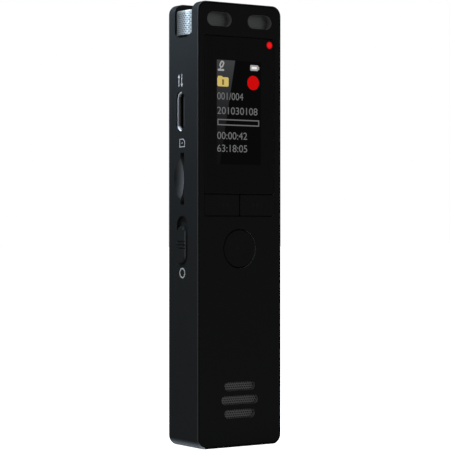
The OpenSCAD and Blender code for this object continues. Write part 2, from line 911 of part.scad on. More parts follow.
module play_key() {
    dish_r = 40;
    dish_depth = 0.12;
    rim_bevel = 0.2;
    color("#111111")
    difference() {
        union() {
            bar_y(0, play_key_z, play_key_r, front_y + rim_bevel, flange_back_y);
            translate([0, front_y + rim_bevel, play_key_z])
                rotate([90, 0, 0]) cylinder(h = rim_bevel, r1 = play_key_r, r2 = play_key_r - rim_bevel);
            bar_y(0, play_key_z, play_key_r + flange_lip, flange_front_y, flange_back_y);
            key_stem(0, play_key_z);
        }
        translate([0, front_y + dish_depth - dish_r, play_key_z]) sphere(dish_r, $fn = 128);
    }
}

// Can of a tact switch on the front of the board
module front_switch(x, z) {
    color("#b9bdc2")
    difference() {
        block([x - can_w / 2, can_front_y, z - can_h / 2], [x + can_w / 2, board_front_y, z + can_h / 2]);
        bar_y(x, z, plunger_r + plunger_gap, can_front_y - over, can_front_y + plunger_in + front_key_travel + plunger_gap);
    }
}

module front_plunger(x, z) {
    color("#202020") bar_y(x, z, plunger_r, plunger_tip_y, can_front_y + plunger_in);
}

module back_switch() { front_switch(-search_key_x, search_key_z); }
module forward_switch() { front_switch(search_key_x, search_key_z); }
module play_switch() { front_switch(0, play_key_z); }
module back_plunger() { front_plunger(-search_key_x, search_key_z); }
module forward_plunger() { front_plunger(search_key_x, search_key_z); }
module play_plunger() { front_plunger(0, play_key_z); }

// ---- Keys on the right side ----

module side_key(z) {
    color("#24272a") {
        translate([control_x, control_y, z])
            side_slab(side_key_l, side_key_w, control_x - side_flange_x + bite, side_key_w / 2 - tiny, cap_bevel);
        translate([side_flange_x - side_flange_t, control_y, z])
            along_x(side_flange_t)
                rounded_upright(side_key_w + 2 * side_flange_lip, side_key_l + 2 * side_flange_lip);
        bar_x(control_y, z, side_stem_r, side_stem_tip_x, side_flange_x - side_flange_t + bite);
    }
}

module side_switch(z) {
    color("#b9bdc2")
    difference() {
        block([side_can_x - side_can_d, board_back_y, z - side_can_l / 2],
              [side_can_x, board_back_y + side_can_t, z + side_can_l / 2]);
        bar_x(control_y, z, side_plunger_r + plunger_gap, side_can_x - side_plunger_in - side_plunger_room - side_key_travel, side_can_x + over);
    }
}

module side_plunger(z) {
    color("#202020") bar_x(control_y, z, side_plunger_r, side_can_x - side_plunger_in, side_stem_tip_x);
}

module menu_key() { side_key(menu_z); }
module volume_up_key() { side_key(volume_up_z); }
module volume_down_key() { side_key(volume_down_z); }
module menu_switch() { side_switch(menu_z); }
module volume_up_switch() { side_switch(volume_up_z); }
module volume_down_switch() { side_switch(volume_down_z); }
module menu_plunger() { side_plunger(menu_z); }
module volume_up_plunger() { side_plunger(volume_up_z); }
module volume_down_plunger() { side_plunger(volume_down_z); }

module headphone_jack() {
    color("#161616")
    difference() {
        union() {
            block([jack_barrel_x - jack_bore_l - jack_end_wall, board_back_y, jack_z - jack_body_h / 2],
                  [jack_body_x, board_back_y + jack_body_t, jack_z + jack_body_h / 2]);
            bar_x(jack_y, jack_z, jack_barrel_r, jack_body_x - over, jack_barrel_x);
        }
        bar_x(jack_y, jack_z, jack_bore_r, jack_barrel_x - jack_bore_l, jack_barrel_x + over);
    }
}

// ---- Battery ----

module battery_cell() {
    color("#b8bcc2")
    translate([0, cell_y, cell_bottom_z + cell_h / 2])
        slab(cell_w, cell_h, cell_t, cell_r, cell_bevel, cell_bevel);
}

module battery_pad() {
    color("#2a2a2a")
    block([pad_inset_x - cell_w / 2, inner_back_y - pad_t, cell_bottom_z + pad_inset_z],
          [cell_w / 2 - pad_inset_x, inner_back_y, cell_top_z - pad_inset_z]);
}

module battery_board() {
    color("#14532d")
    block([-battery_board_w / 2, battery_board_y, battery_board_z],
          [battery_board_w / 2, battery_board_y + battery_board_t, battery_board_z + battery_board_h]);
}

module battery_leads() {
    color("#b02020")
    for (sx = [-1, 1])
        bar_y(sx * battery_lead_x, battery_board_z + battery_board_h / 2, battery_lead_r,
              board_back_y, battery_board_y);
}

// ---- Speaker ----

module speaker_basket() {
    color("#3a3c40")
    difference() {
        union() {
            translate([0, speaker_front_y, speaker_z])
                along_y(speaker_back_y - speaker_front_y) rounded(speaker_w, speaker_h, speaker_r);
            translate([0, speaker_back_y - bite, speaker_z])
                along_y(magnet_t + bite) rounded(magnet_w, magnet_h, speaker_r / 2);
        }
        translate([0, speaker_front_y - over, speaker_z])
            along_y(over + basket_depth)
                rounded(speaker_w - 2 * basket_rim, speaker_h - 2 * basket_rim, speaker_r - basket_rim);
    }
}

module speaker_cone() {
    color("#1a1a1a") {
        translate([0, speaker_front_y + cone_drop, speaker_z])
            along_y(cone_t)
                rounded(speaker_w - 2 * basket_rim - fit_gap, speaker_h - 2 * basket_rim - fit_gap,
                        speaker_r - basket_rim - fit_gap / 2);
        translate([0, speaker_front_y + cone_drop - dome_rise, speaker_z])
            slab(dome_w, dome_h, dome_rise + cone_t / 2, speaker_r, dome_rise);
    }
}

module speaker_gasket() {
    color("#2a2a2a")
    translate([0, speaker_front_y - speaker_gasket_t, speaker_z])
        along_y(speaker_gasket_t)
            difference() {
                rounded(speaker_w - gasket_inset, speaker_h - gasket_inset, speaker_r);
                rounded(speaker_w - gasket_w, speaker_h - gasket_w, speaker_r - basket_rim);
            }
}

module speaker_mesh() {
    color("#8d9196")
    translate([0, panel_back_y, speaker_z])
        along_y(speaker_mesh_t) rounded(mesh_w, mesh_h, mesh_corner_r);
}

// ---- Microphones ----

// Upright block of the cage's outline whose lower edges follow the channel
module cage_block(inset, h) {
    w = case_w + 2 * cage_proud - 2 * inset;
    d = cage_d - 2 * inset;
    intersection() {
        linear_extrude(h) rounded(w, d, cage_r - inset);
        translate([-w / 2 - over, 0, 0])
            along_x(w + 2 * over) channel_section(d, h + over, channel_corner_r - inset);
    }
}

module mic_cage() {
    color("#c4c9cc")
    translate([0, channel_mid_y, channel_floor_z])
        difference() {
            cage_block(0, cage_h);
            cage_block(cage_t, cage_h - cage_t);
            translate([-case_w / 2, cage_t + channel_corner_r - cage_d / 2, -over])
                cube([case_w, cage_d - 2 * (cage_t + channel_corner_r), 2 * over]);
        }
}

module mic_capsule(sx) {
    color("#a8acb0")
    bar_y(sx * window_x, capsule_z, capsule_d / 2, capsule_y, capsule_y + capsule_l);
}

module mic_boot(sx) {
    boot_half = capsule_d / 2 + boot_wall;
    color("#1a1a1a")
    difference() {
        block([sx * window_x - boot_half, capsule_y + fit_gap, channel_floor_z],
              [sx * window_x + boot_half, channel_mid_y + channel_w / 2 - channel_corner_r,
               capsule_z + capsule_d / 2]);
        bar_y(sx * window_x, capsule_z, capsule_d / 2, capsule_y - over, capsule_y + capsule_l);
        for (s = [-1, 1])
            translate([sx * window_x + s * mic_lead_x, channel_mid_y, channel_floor_z - over])
                cylinder(h = over + capsule_gap, r = mic_lead_r + fit_gap / 2);
    }
}

module mic_capsule_left() { mic_capsule(-1); }
module mic_capsule_right() { mic_capsule(1); }
module mic_boot_left() { mic_boot(-1); }
module mic_boot_right() { mic_boot(1); }

module mic_leads() {
    color("#c9a24a")
    for (sx = [-1, 1])
        for (s = [-1, 1])
            translate([sx * window_x + s * mic_lead_x, channel_mid_y, mic_lead_start_z])
                cylinder(h = mic_lead_end_z - mic_lead_start_z, r = mic_lead_r);
}

// ---- Record light ----

module led_chip() {
    color("#e8e0d0")
    block([led_x - led_chip_w / 2, board_front_y - led_chip_t, led_z - led_chip_h / 2],
          [led_x + led_chip_w / 2, board_front_y, led_z + led_chip_h / 2]);
}

module led_light_pipe() {
    color("#ff2018") {
        bar_y(led_x, led_z, led_r, front_y, lens_back_y);
        bar_y(led_x, led_z, led_stem_r, lens_back_y - bite, board_front_y - led_chip_t - fit_gap / 2);
    }
}

case_shell();
front_panel();
display_lens();
mid_frame();
display_glass();
display_backlight();
display_flex();
display_connector();
main_board();
main_chip();
memory_chip();
frame_screws();
usb_shell();
usb_tongue();
card_socket();
switch_housing();
switch_lever();
record_slider();
back_key();
forward_key();
play_key();
back_switch();
forward_switch();
play_switch();
back_plunger();
forward_plunger();
play_plunger();
menu_key();
volume_up_key();
volume_down_key();
menu_switch();
volume_up_switch();
volume_down_switch();
menu_plunger();
volume_up_plunger();
volume_down_plunger();
headphone_jack();
battery_cell();
battery_pad();
battery_board();
battery_leads();
speaker_basket();
speaker_cone();
speaker_gasket();
speaker_mesh();
mic_cage();
mic_capsule_left();
mic_capsule_right();
mic_boot_left();
mic_boot_right();
mic_leads();
led_chip();
led_light_pipe();
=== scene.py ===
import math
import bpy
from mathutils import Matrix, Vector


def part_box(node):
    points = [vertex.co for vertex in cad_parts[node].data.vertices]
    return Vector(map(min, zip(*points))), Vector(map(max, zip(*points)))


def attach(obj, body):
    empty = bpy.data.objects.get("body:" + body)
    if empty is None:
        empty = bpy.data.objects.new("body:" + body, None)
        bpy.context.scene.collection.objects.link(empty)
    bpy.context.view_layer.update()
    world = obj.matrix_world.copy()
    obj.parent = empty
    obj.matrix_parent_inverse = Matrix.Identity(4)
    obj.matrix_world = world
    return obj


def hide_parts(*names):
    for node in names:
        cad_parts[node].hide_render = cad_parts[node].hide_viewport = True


bl_info = {
    "name": "Stick Recorder Finish",
    "version": (1, 0, 0),
    "blender": (4, 5, 0),
    "location": "3D View > Sidebar > Recorder",
    "description": "Dresses the model of a stick recorder with its finishes, meshes, display and studio",
    "category": "Object",
}

import bpy
from bpy.props import FloatProperty, FloatVectorProperty, IntProperty, PointerProperty, StringProperty
from mathutils import Vector

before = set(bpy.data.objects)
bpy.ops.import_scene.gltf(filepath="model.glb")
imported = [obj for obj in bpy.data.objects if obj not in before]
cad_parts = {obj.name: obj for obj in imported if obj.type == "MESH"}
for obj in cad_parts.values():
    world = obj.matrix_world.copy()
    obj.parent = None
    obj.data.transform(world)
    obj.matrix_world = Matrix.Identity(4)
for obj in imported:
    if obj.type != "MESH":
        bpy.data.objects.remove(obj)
MM = 0.001
MIDDLE = Vector((0, 0, 50 * MM))
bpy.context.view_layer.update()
BODY = "recorder"
SIX_SIDED = math.sqrt(3) / 2
SCOOP_Z = 60.4 * MM
SCOOP_R = 5.4 * MM
SCOOP_REAR = 3.8 * MM
SCOOP_FRONT = -0.4 * MM
PANEL_BACK = -5 * MM
CHANNEL_FRONT = -3.6 * MM
WINDOW_X = 5.5 * MM
WINDOW_Z = 96.1 * MM


# ---------------------------------------------------------------- settings


def linear(red, green, blue):
    """A colour as a screen shows it, 0 to 255, as Blender's linear colour."""
    shares = [channel / 255 for channel in (red, green, blue)]
    return tuple(s / 12.92 if s <= 0.04045 else ((s + 0.055) / 1.055) ** 2.4 for s in shares)


def length(name, description, millimetres):
    """A length setting, given in millimetres and kept in metres."""
    return FloatProperty(
        name=name,
        description=description,
        default=millimetres * MM,
        min=0.0,
        precision=6,
        unit="LENGTH",
        subtype="DISTANCE",
    )


def colour(name, description, red, green, blue):
    """A colour setting, given as a screen shows it."""
    return FloatVectorProperty(
        name=name,
        description=description,
        default=linear(red, green, blue),
        min=0.0,
        max=1.0,
        size=3,
        subtype="COLOR",
    )


def share(name, description, value, most=1.0):
    """A setting between 0 and its most."""
    return FloatProperty(
        name=name, description=description, default=value, min=0.0, max=most, subtype="FACTOR"
    )


class RecorderCaseSettings(bpy.types.PropertyGroup):
    """Finish of the case, the front panel, the lens and the keys"""

    metal: colour("Case metal", "Colour of the anodised metal tub", 24, 25, 25)
    metal_roughness: share("Metal roughness", "Roughness of the anodised metal", 0.42)
    # This grey is the colour of the card's end and the finger scoop's painted highlight.
    card_grey_and_scoop_highlight: colour("Rubbed metal", "Colour of the finger scoop where it is rubbed", 104, 104, 103)
    # Bevels: a painted highlight on the front chamfers.
    bevel: colour("Bevels", "Colour of the front bevels, where the coat is thin", 42, 43, 43)
    # Lower corner: a painted reflection of the floor on the rounded lower left corner.
    foot: colour("Lower corner", "Colour of the lower left corner, where the coat is worn", 150, 156, 163)
    control: colour("Side controls", "Colour of the slider and the side keys", 24, 25, 25)
    panel: colour("Front panel", "Colour of the front panel", 12, 12, 12)
    # A painted highlight: the paler walls of the openings in the panel and the case.
    opening_wall_highlight: colour("Panel edge", "Colour of the walls of the panel's openings", 74, 74, 74)
    panel_roughness: share("Panel roughness", "Roughness of the front panel", 0.38)
    lens: colour("Lens", "Colour of the display window", 9, 9, 9)
    key: colour("Front keys", "Colour of the keys on the front", 12, 12, 12)


class RecorderMeshSettings(bpy.types.PropertyGroup):
    """Perforated sheets over the microphones and the speaker"""

    cage_pitch: length("Cage pitch", "Distance between the holes along the microphone cage", 0.9)
    cage_row: length("Cage row", "Distance between the rows of holes of the microphone cage", 0.443)
    cage_bar: length("Cage bar", "Width of the metal between two holes of the microphone cage", 0.24)
    cage_sheet: length("Cage sheet", "Depth of the holes in the microphone cage", 0.12)
    cage_rim: length("Cage rim", "Width of the plain rim round the top of the cage", 0.55)
    cage_metal: colour("Cage metal", "Colour of the microphone cage", 130, 136, 137)
    gauze_pitch: length("Gauze pitch", "Distance between the holes of the window gauze", 0.4)
    gauze_bar: length("Gauze bar", "Width of the metal between two holes of the window gauze", 0.2)
    # The gauze's dark grey is painted shade.
    gauze_shade_metal: colour("Gauze metal", "Colour of the window gauze", 66, 67, 67)
    grille_pitch: length("Grille pitch", "Distance between the holes of the speaker grille", 0.6)
    grille_bar: length("Grille bar", "Width of the metal between two holes of the speaker grille", 0.22)
    grille_sheet: length("Grille sheet", "Depth of the holes in the speaker grille", 0.15)
    # The grille's dark grey is painted shade, darker than the cage's metal.
    grille_shade_metal: colour("Grille metal", "Colour of the speaker grille", 60, 60, 60)


class RecorderDisplaySettings(bpy.types.PropertyGroup):
    """What the display shows"""

    counter: StringProperty(name="Counter", description="Recording number and count", default="001/004")
    file_number: StringProperty(
        name="File number", description="Number of the recording", default="201030108"
    )
    elapsed: StringProperty(name="Elapsed", description="Time recorded so far", default="00:00:42")
    remaining: StringProperty(name="Remaining", description="Time left on the card", default="63:18:05")
    figure_height: length("Figure height", "Height of the figures", 1.62)
    ink: length("Image height", "How far the image stands off the lens", 0.008)
    text: colour("Figures", "Colour of the figures", 108, 108, 109)
    light: colour("Battery charge", "Colour of the battery's charge", 240, 240, 236)
    grey: colour("Grey marks", "Colour of the microphone and of the battery's case", 160, 160, 161)
    folder: colour("Folder", "Colour of the folder mark", 208, 184, 106)
    record: colour("Record mark", "Colour of the record mark", 206, 2, 2)
    lamp: colour("Record lamp", "Colour of the lit record lamp", 246, 2, 10)
    brightness: share("Brightness", "Strength of the display", 1.0, most=4.0)


class RecorderMarkSettings(bpy.types.PropertyGroup):
    """Printed and moulded marks"""

    print_colour: colour("Print", "Colour of the marks on the side", 124, 124, 122)
    print_height: length("Print height", "Thickness of the print on the side", 0.012)
    line: length("Line", "Width of a printed line", 0.22)
    key_relief: length("Key relief", "How far a key's mark stands proud", 0.03)


class RecorderStudioSettings(bpy.types.PropertyGroup):
    """Camera, lamps and surround"""

    camera_azimuth: FloatProperty(
        name="Camera azimuth",
        description="Direction of the camera round the recorder, from the front",
        default=math.radians(-34.12),
        subtype="ANGLE",
    )
    camera_distance: length("Camera distance", "Distance from the recorder's axis", 400.1)
    camera_height: length("Camera height", "Height of the level camera", 50)
    camera_lens: FloatProperty(
        name="Lens", description="Focal length", default=140.1, unit="CAMERA"
    )
    ambient: share("Ambient", "Strength of the surround", 0.9)
    floor: colour("Floor", "Colour of the floor", 200, 200, 200)


SETTINGS = {
    "recorder_case": RecorderCaseSettings,
    "recorder_mesh": RecorderMeshSettings,
    "recorder_display": RecorderDisplaySettings,
    "recorder_marks": RecorderMarkSettings,
    "recorder_studio": RecorderStudioSettings,
}


# ---------------------------------------------------------------- materials


class Value:
    """A shader output that Python expressions can work on."""

    def __init__(self, finish, output):
        self.finish = finish
        self.output = output

    def math(self, operation, *operands):
        return self.finish.node("ShaderNodeMath", {"operation": operation}, dict(enumerate(operands)))

    def __add__(self, other):
        return self.math("ADD", self, other)

    def __radd__(self, other):
        return self.math("ADD", other, self)

    def __sub__(self, other):
        return self.math("SUBTRACT", self, other)

    def __rsub__(self, other):
        return self.math("SUBTRACT", other, self)

    def __mul__(self, other):
        return self.math("MULTIPLY", self, other)

    def __rmul__(self, other):
        return self.math("MULTIPLY", other, self)

    def __truediv__(self, other):
        return self.math("DIVIDE", self, other)

    def __gt__(self, other):
        return self.math("GREATER_THAN", self, other)

    def __lt__(self, other):
        return self.math("LESS_THAN", self, other)

    def clamped(self):
        return self.math("MINIMUM", self.math("MAXIMUM", self, 0.0), 1.0)


class Finish:
    """A material whose nodes are written as expressions."""

    def __init__(self, name, owner=None):
        self.material = owner or bpy.data.materials.new(name)
        self.material.use_nodes = True
        self.tree = self.material.node_tree
        self.tree.nodes.clear()

    def node(self, kind, settings=None, inputs=None, output=0):
        """Adds a node: its settings first, then its sockets' values or links."""
        made = self.made(kind, settings, inputs)
        return Value(self, made.outputs[output])

    def made(self, kind, settings=None, inputs=None):
        """The node itself, for one that ends a material."""
        made = self.tree.nodes.new(kind)
        for name, value in (settings or {}).items():
            setattr(made, name, value)
        for name, value in (inputs or {}).items():
            if isinstance(value, Value):
                self.tree.links.new(value.output, made.inputs[name])
            else:
                made.inputs[name].default_value = value
        return made

    def place(self):
        """The point on the piece, in metres."""
        return self.node("ShaderNodeTexCoord", output="Object")

    def axes(self):
        """The point's x, y and z."""
        split = self.node("ShaderNodeSeparateXYZ", inputs={0: self.place()})
        outputs = split.output.node.outputs
        return [Value(self, outputs[axis]) for axis in "XYZ"]

    def stretched(self, x, y, z):
        """The point with each axis scaled, for grain that runs one way."""
        return self.node("ShaderNodeMapping", inputs={"Vector": self.place(), "Scale": (x, y, z)})

    def noise(self, size, detail=2.0, vector=None):
        """Soft noise between 0 and 1 whose features are about that size, in metres."""
        return self.node(
            "ShaderNodeTexNoise",
            inputs={"Vector": vector or self.place(), "Scale": 1 / size, "Detail": detail},
        )

    def cells(self, size, feature="F1", output="Distance"):
        """Cells of about that size, in metres."""
        return self.node(
            "ShaderNodeTexVoronoi",
            {"feature": feature},
            {"Vector": self.place(), "Scale": 1 / size},
            output,
        )

    def mix(self, factor, first, second):
        """Blends two colours."""
        inputs = {0: factor, 6: opaque(first), 7: opaque(second)}
        return self.node("ShaderNodeMix", {"data_type": "RGBA"}, inputs, 2)

    def bump(self, height, depth, strength=1.0):
        """A normal that follows a height between 0 and 1, as deep as that in metres."""
        inputs = {"Height": height, "Distance": depth, "Strength": strength}
        return self.node("ShaderNodeBump", inputs=inputs)

    def surface(self, inputs):
        """Ends the material in a Principled surface."""
        shader = self.node("ShaderNodeBsdfPrincipled", inputs=inputs)
        self.made("ShaderNodeOutputMaterial", inputs={"Surface": shader})
        return self.material


def opaque(value):
    """A colour with its alpha; a link stays as it is."""
    return value if isinstance(value, Value) else (*value, 1.0)


def dimmed(value, factor):
    """The colour times a factor."""
    return tuple(min(1.0, channel * factor) for channel in value)


def anodised_metal(name, metal, roughness, paint=None):
    """Bead-blasted metal under a dark anodised coat; paint gives masks and the colours that they bring."""
    finish = Finish(name)
    clouding = finish.noise(9 * MM, 3.0)
    blasting = finish.noise(0.09 * MM, 2.0)
    base = finish.mix(clouding, dimmed(metal, 0.94), dimmed(metal, 1.06))
    for mask, tone in paint(*finish.axes()) if paint else ():
        base = finish.mix(mask, base, tone)
    return finish.surface(
        {
            "Base Color": base,
            "Metallic": 0.15,
            "Roughness": roughness + 0.08 * (blasting - 0.5) + 0.05 * (clouding - 0.5),
            "Specular IOR Level": 0.0,
            "Specular Tint": (0.5, 0.5, 0.5, 1.0),
            "Normal": finish.bump(blasting, 0.006 * MM),
        }
    )


def satin_plastic(name, base, roughness, specular=0.015, depth=None, edge=None):
    """Moulded plastic with a fine grain and a faint haze; behind the given depth it takes the edge colour, a
    painted highlight on the walls of openings.
    """
    finish = Finish(name)
    texture = finish.noise(0.12 * MM, 2.0)
    haze = finish.noise(7 * MM, 4.0)
    tone = finish.mix(texture, dimmed(base, 0.85), dimmed(base, 1.15))
    if edge:
        tone = finish.mix(finish.axes()[1] > depth, tone, edge)
    return finish.surface(
        {
            "Base Color": tone,
            "Roughness": roughness + 0.1 * (haze - 0.5) + 0.05 * (texture - 0.5),
            "Specular IOR Level": specular,
            "Normal": finish.bump(texture, 0.004 * MM),
        }
    )


def display_window(name, base, screen_low, screen_high, top_edge, bottom_edge):
    """Gloss window: the display is a deeper black in it, with a painted glare on its left, a pale wedge that
    glows.
    """
    finish = Finish(name)
    x, _, z = finish.axes()
    inside = (x > screen_low[0]) * (x < screen_high[0]) * (z > screen_low[1]) * (z < screen_high[1])
    rise = (z - screen_low[1]) / (screen_high[1] - screen_low[1])
    edge = bottom_edge + (top_edge - bottom_edge) * rise
    # Painted glare: a pale wedge that glows, brightest at the top.
    glare = inside * (x < edge) * (0.06 + 0.94 * rise * rise)
    smears = finish.noise(6 * MM, 5.0)
    return finish.surface(
        {
            "Base Color": finish.mix(inside, base, dimmed(base, 0.35)),
            "Roughness": 0.07 + 0.05 * smears,
            "Specular IOR Level": 0.02,
            "Emission Color": finish.mix(glare, (0.0, 0.0, 0.0), linear(60, 61, 63)),
            "Emission Strength": 1.0,
        }
    )


def stamped_steel(name, base, roughness=0.3):
    """Bright stamped sheet with fine drawing lines."""
    finish = Finish(name)
    lines = finish.noise(0.05 * MM, 2.0, finish.stretched(1, 1, 0.12))
    tone = finish.noise(2 * MM, 3.0)
    return finish.surface(
        {
            "Base Color": finish.mix(tone, dimmed(base, 0.88), base),
            "Metallic": 1.0,
            "Roughness": roughness + 0.14 * (lines - 0.5),
            "Normal": finish.bump(lines, 0.002 * MM),
        }
    )


def port_steel(name, base, low, high):
    """Steel of the charging port, with a painted highlight along its rear lip, painted glints round its rear
    corners and painted shade, near black, elsewhere inside.
    """
    finish = Finish(name)
    x, y, z = finish.axes()
    middle = (low.z + high.z) / 2
    reach = (1 - (x - low.x) / (0.75 * MM)).clamped()
    # Painted highlight along the rear lip and painted glints at its rear corners; elsewhere the steel is
    # painted shade, near black.
    lip = (y > high.y - 0.5 * MM) * reach
    corner = (z - middle).math("ABSOLUTE", z - middle) > (high.z - low.z) / 2 - 1.1 * MM
    spark = corner * (y > high.y - 1.6 * MM) * reach
    grain = finish.noise(0.1 * MM, 2.0)
    steel = finish.mix(lip, linear(14, 14, 14), dimmed(base, 0.35))
    return finish.surface(
        {
            "Base Color": finish.mix(spark, steel, base),
            "Metallic": 0.5,
            "Roughness": 0.28 + 0.1 * (grain - 0.5),
            "Specular Tint": (0.5, 0.5, 0.5, 1.0),
            "Normal": finish.bump(grain, 0.002 * MM),
        }
    )


def cage_steel(name, base, roughness, rear_start, rear_end, rear_share):
    """Silver sheet of the cage, with painted shade that darkens it towards the rear."""
    finish = Finish(name)
    y = finish.axes()[1]
    grain = finish.noise(0.08 * MM, 3.0)
    # Painted shade: the colour darkens from rear_start to rear_end.
    painted_light = ((y - rear_start) / (rear_end - rear_start)).clamped()
    return finish.surface(
        {
            "Base Color": finish.mix(painted_light, base, dimmed(base, rear_share)),
            "Metallic": 1.0,
            "Roughness": roughness + 0.16 * (grain - 0.5),
            "Normal": finish.bump(grain, 0.004 * MM),
        }
    )


def moulded(name, base, roughness=0.5, specular=0.4):
    """Plain inner moulding with flow marks."""
    finish = Finish(name)
    flow = finish.noise(2.5 * MM, 3.0, finish.stretched(1, 1, 0.3))
    return finish.surface(
        {
            "Base Color": finish.mix(flow, dimmed(base, 0.88), dimmed(base, 1.08)),
            "Roughness": roughness + 0.12 * (flow - 0.5),
            "Specular IOR Level": specular,
        }
    )


def closed_foam(name, base):
    """Foam or rubber with small cells."""
    finish = Finish(name)
    cell = finish.cells(0.16 * MM)
    return finish.surface(
        {
            "Base Color": finish.mix(cell, dimmed(base, 0.7), dimmed(base, 1.2)),
            "Roughness": 0.9,
            "Normal": finish.bump(cell, 0.03 * MM),
        }
    )


def woven_lining(name, base):
    """Thin acoustic cloth behind the cage."""
    finish = Finish(name)
    x, y, z = finish.axes()
    turns = 2 * math.pi / (0.16 * MM)
    weave = 0.5 + 0.25 * ((x + y) * turns).math("SINE", (x + y) * turns)
    weft = weave + 0.25 * (z * turns).math("SINE", z * turns)
    return finish.surface(
        {
            "Base Color": finish.mix(weft, dimmed(base, 0.5), dimmed(base, 1.3)),
            "Roughness": 0.95,
            "Normal": finish.bump(weft, 0.02 * MM),
        }
    )


def circuit_board(name, base):
    """Solder mask with buried tracks and tinned pads."""
    finish = Finish(name)
    track = finish.cells(1.1 * MM, "DISTANCE_TO_EDGE") < 0.06
    pad = finish.cells(1.9 * MM) < 0.2
    green = finish.mix(track, base, dimmed(base, 1.7))
    return finish.surface(
        {
            "Base Color": finish.mix(pad, green, linear(190, 188, 176)),
            "Metallic": pad,
            "Roughness": 0.35,
            "Normal": finish.bump(track, 0.02 * MM),
        }
    )


def foil_pouch(name, base):
    """Crinkled foil of a battery pouch."""
    finish = Finish(name)
    crinkle = finish.noise(1.6 * MM, 4.0)
    return finish.surface(
        {
            "Base Color": finish.mix(crinkle, dimmed(base, 0.8), base),
            "Metallic": 0.9,
            "Roughness": 0.3 + 0.2 * crinkle,
            "Normal": finish.bump(crinkle, 0.08 * MM),
        }
    )


def lit(name, light, strength, pixel=0.11):
    """A lit display colour, broken up by the display's pixels."""
    finish = Finish(name)
    x, _, z = finish.axes()
    turns = 2 * math.pi / (pixel * MM)
    raster = 0.93 + 0.07 * (x * turns).math("SINE", x * turns) * (z * turns).math("SINE", z * turns)
    return finish.surface(
        {
            "Base Color": opaque(dimmed(light, 0.03)),
            "Roughness": 0.4,
            "Specular IOR Level": 0.03,
            "Emission Color": finish.mix(raster, (0.0, 0.0, 0.0), light),
            "Emission Strength": strength,
        }
    )


def lamp_lens(name, light, centre):
    """Red lamp, hottest in its middle."""
    finish = Finish(name)
    x, _, z = finish.axes()
    squared = (x - centre[0]) * (x - centre[0]) + (z - centre[1]) * (z - centre[1])
    glow = (1 - squared / (0.8 * MM) ** 2).clamped()
    return finish.surface(
        {
            "Base Color": opaque(dimmed(light, 0.1)),
            "Roughness": 0.25,
            "Specular IOR Level": 0.1,
            "Emission Color": finish.mix(glow, dimmed(light, 0.4), light),
            "Emission Strength": 1.0,
        }
    )


def printed_ink(name, base):
    """Pad-printed ink, a little uneven."""
    finish = Finish(name)
    cover = finish.noise(0.12 * MM, 3.0)
    return finish.surface(
        {
            "Base Color": finish.mix(cover, dimmed(base, 0.82), dimmed(base, 1.05)),
            "Roughness": 0.6,
            "Specular IOR Level": 0.2,
        }
    )


def dress(material, *nodes):
    """Gives CAD nodes a finish."""
    for name in nodes:
        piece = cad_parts[name]
        piece.data.materials.clear()
        piece.data.materials.append(material)


# ---------------------------------------------------------------- modelling


def deselect():
    """Leaves nothing selected, in object mode."""
    if bpy.context.object and bpy.context.object.mode != "OBJECT":
        bpy.ops.object.mode_set(mode="OBJECT")
    bpy.ops.object.select_all(action="DESELECT")


def pick(*pieces):
    """Selects only these pieces; the last one is active."""
    deselect()
    for piece in pieces:
        piece.select_set(True)
        bpy.context.view_layer.objects.active = piece


def edit(piece, kind="FACE"):
    """Opens a piece in edit mode with everything selected."""
    pick(piece)
    bpy.ops.object.mode_set(mode="EDIT")
    bpy.ops.mesh.select_mode(type=kind)
    bpy.ops.mesh.select_all(action="SELECT")


def done():
    """Leaves edit mode."""
    bpy.ops.object.mode_set(mode="OBJECT")


def choose(piece, kind, test):
    """In edit mode, selects only the faces, edges or vertices whose middle passes the test."""
    bpy.ops.mesh.select_mode(type=kind)
    bpy.ops.mesh.select_all(action="DESELECT")
    done()
    mesh = piece.data
    points = [vertex.co for vertex in mesh.vertices]
    if kind == "VERT":
        for vertex in mesh.vertices:
            vertex.select = test(vertex.co)
    elif kind == "EDGE":
        for edge in mesh.edges:
            edge.select = all(test(points[i]) for i in edge.vertices)
    else:
        for face in mesh.polygons:
            face.select = test(face.center)
    bpy.ops.object.mode_set(mode="EDIT")


def apply_place(piece):
    """Puts a piece's place, turn and scale into its mesh."""
    pick(piece)
    bpy.ops.object.transform_apply(location=True, rotation=True, scale=True)


def apply_modifiers(piece):
    """Applies a piece's modifiers in order."""
    pick(piece)
    for modifier in list(piece.modifiers):
        bpy.ops.object.modifier_apply(modifier=modifier.name)


def plate(width, height, corner=0.0, thickness=0.0, segments=6):
    """A flat plate in X and Y, its corners rounded, raised to its thickness along Z."""
    deselect()
    bpy.ops.mesh.primitive_plane_add(size=1)
    piece = bpy.context.object
    piece.scale = (width, height, 1)
    apply_place(piece)
    edit(piece, "VERT")
    if corner:
        bpy.ops.mesh.bevel(offset=corner, segments=segments, affect="VERTICES")
    done()
    if thickness:
        thicken(piece, thickness)
    return piece


def disc(radius, thickness=0.0, sides=40):
    """A flat disc in X and Y, raised to its thickness along Z."""
    deselect()
    bpy.ops.mesh.primitive_circle_add(vertices=sides, radius=radius, fill_type="NGON")
    piece = bpy.context.object
    if thickness:
        thicken(piece, thickness)
    return piece


def thicken(piece, thickness):
    """Extrudes a flat piece along Z, and closes it."""
    edit(piece)
    bpy.ops.mesh.extrude_region_move(TRANSFORM_OT_translate={"value": (0, 0, thickness)})
    bpy.ops.mesh.select_all(action="SELECT")
    bpy.ops.mesh.normals_make_consistent(inside=False)
    done()


def outlined(piece, line, thickness):
    """Turns a flat plate or disc into its outline, of that line width."""
    edit(piece)
    bpy.ops.mesh.inset(thickness=line)
    bpy.ops.mesh.delete(type="FACE")
    done()
    thicken(piece, thickness)
    return piece


def shifted(piece, x=0.0, y=0.0, turn=0.0):
    """Moves and turns a flat piece in its plane."""
    piece.location = (x, y, 0)
    piece.rotation_euler = (0, 0, turn)
    apply_place(piece)
    return piece


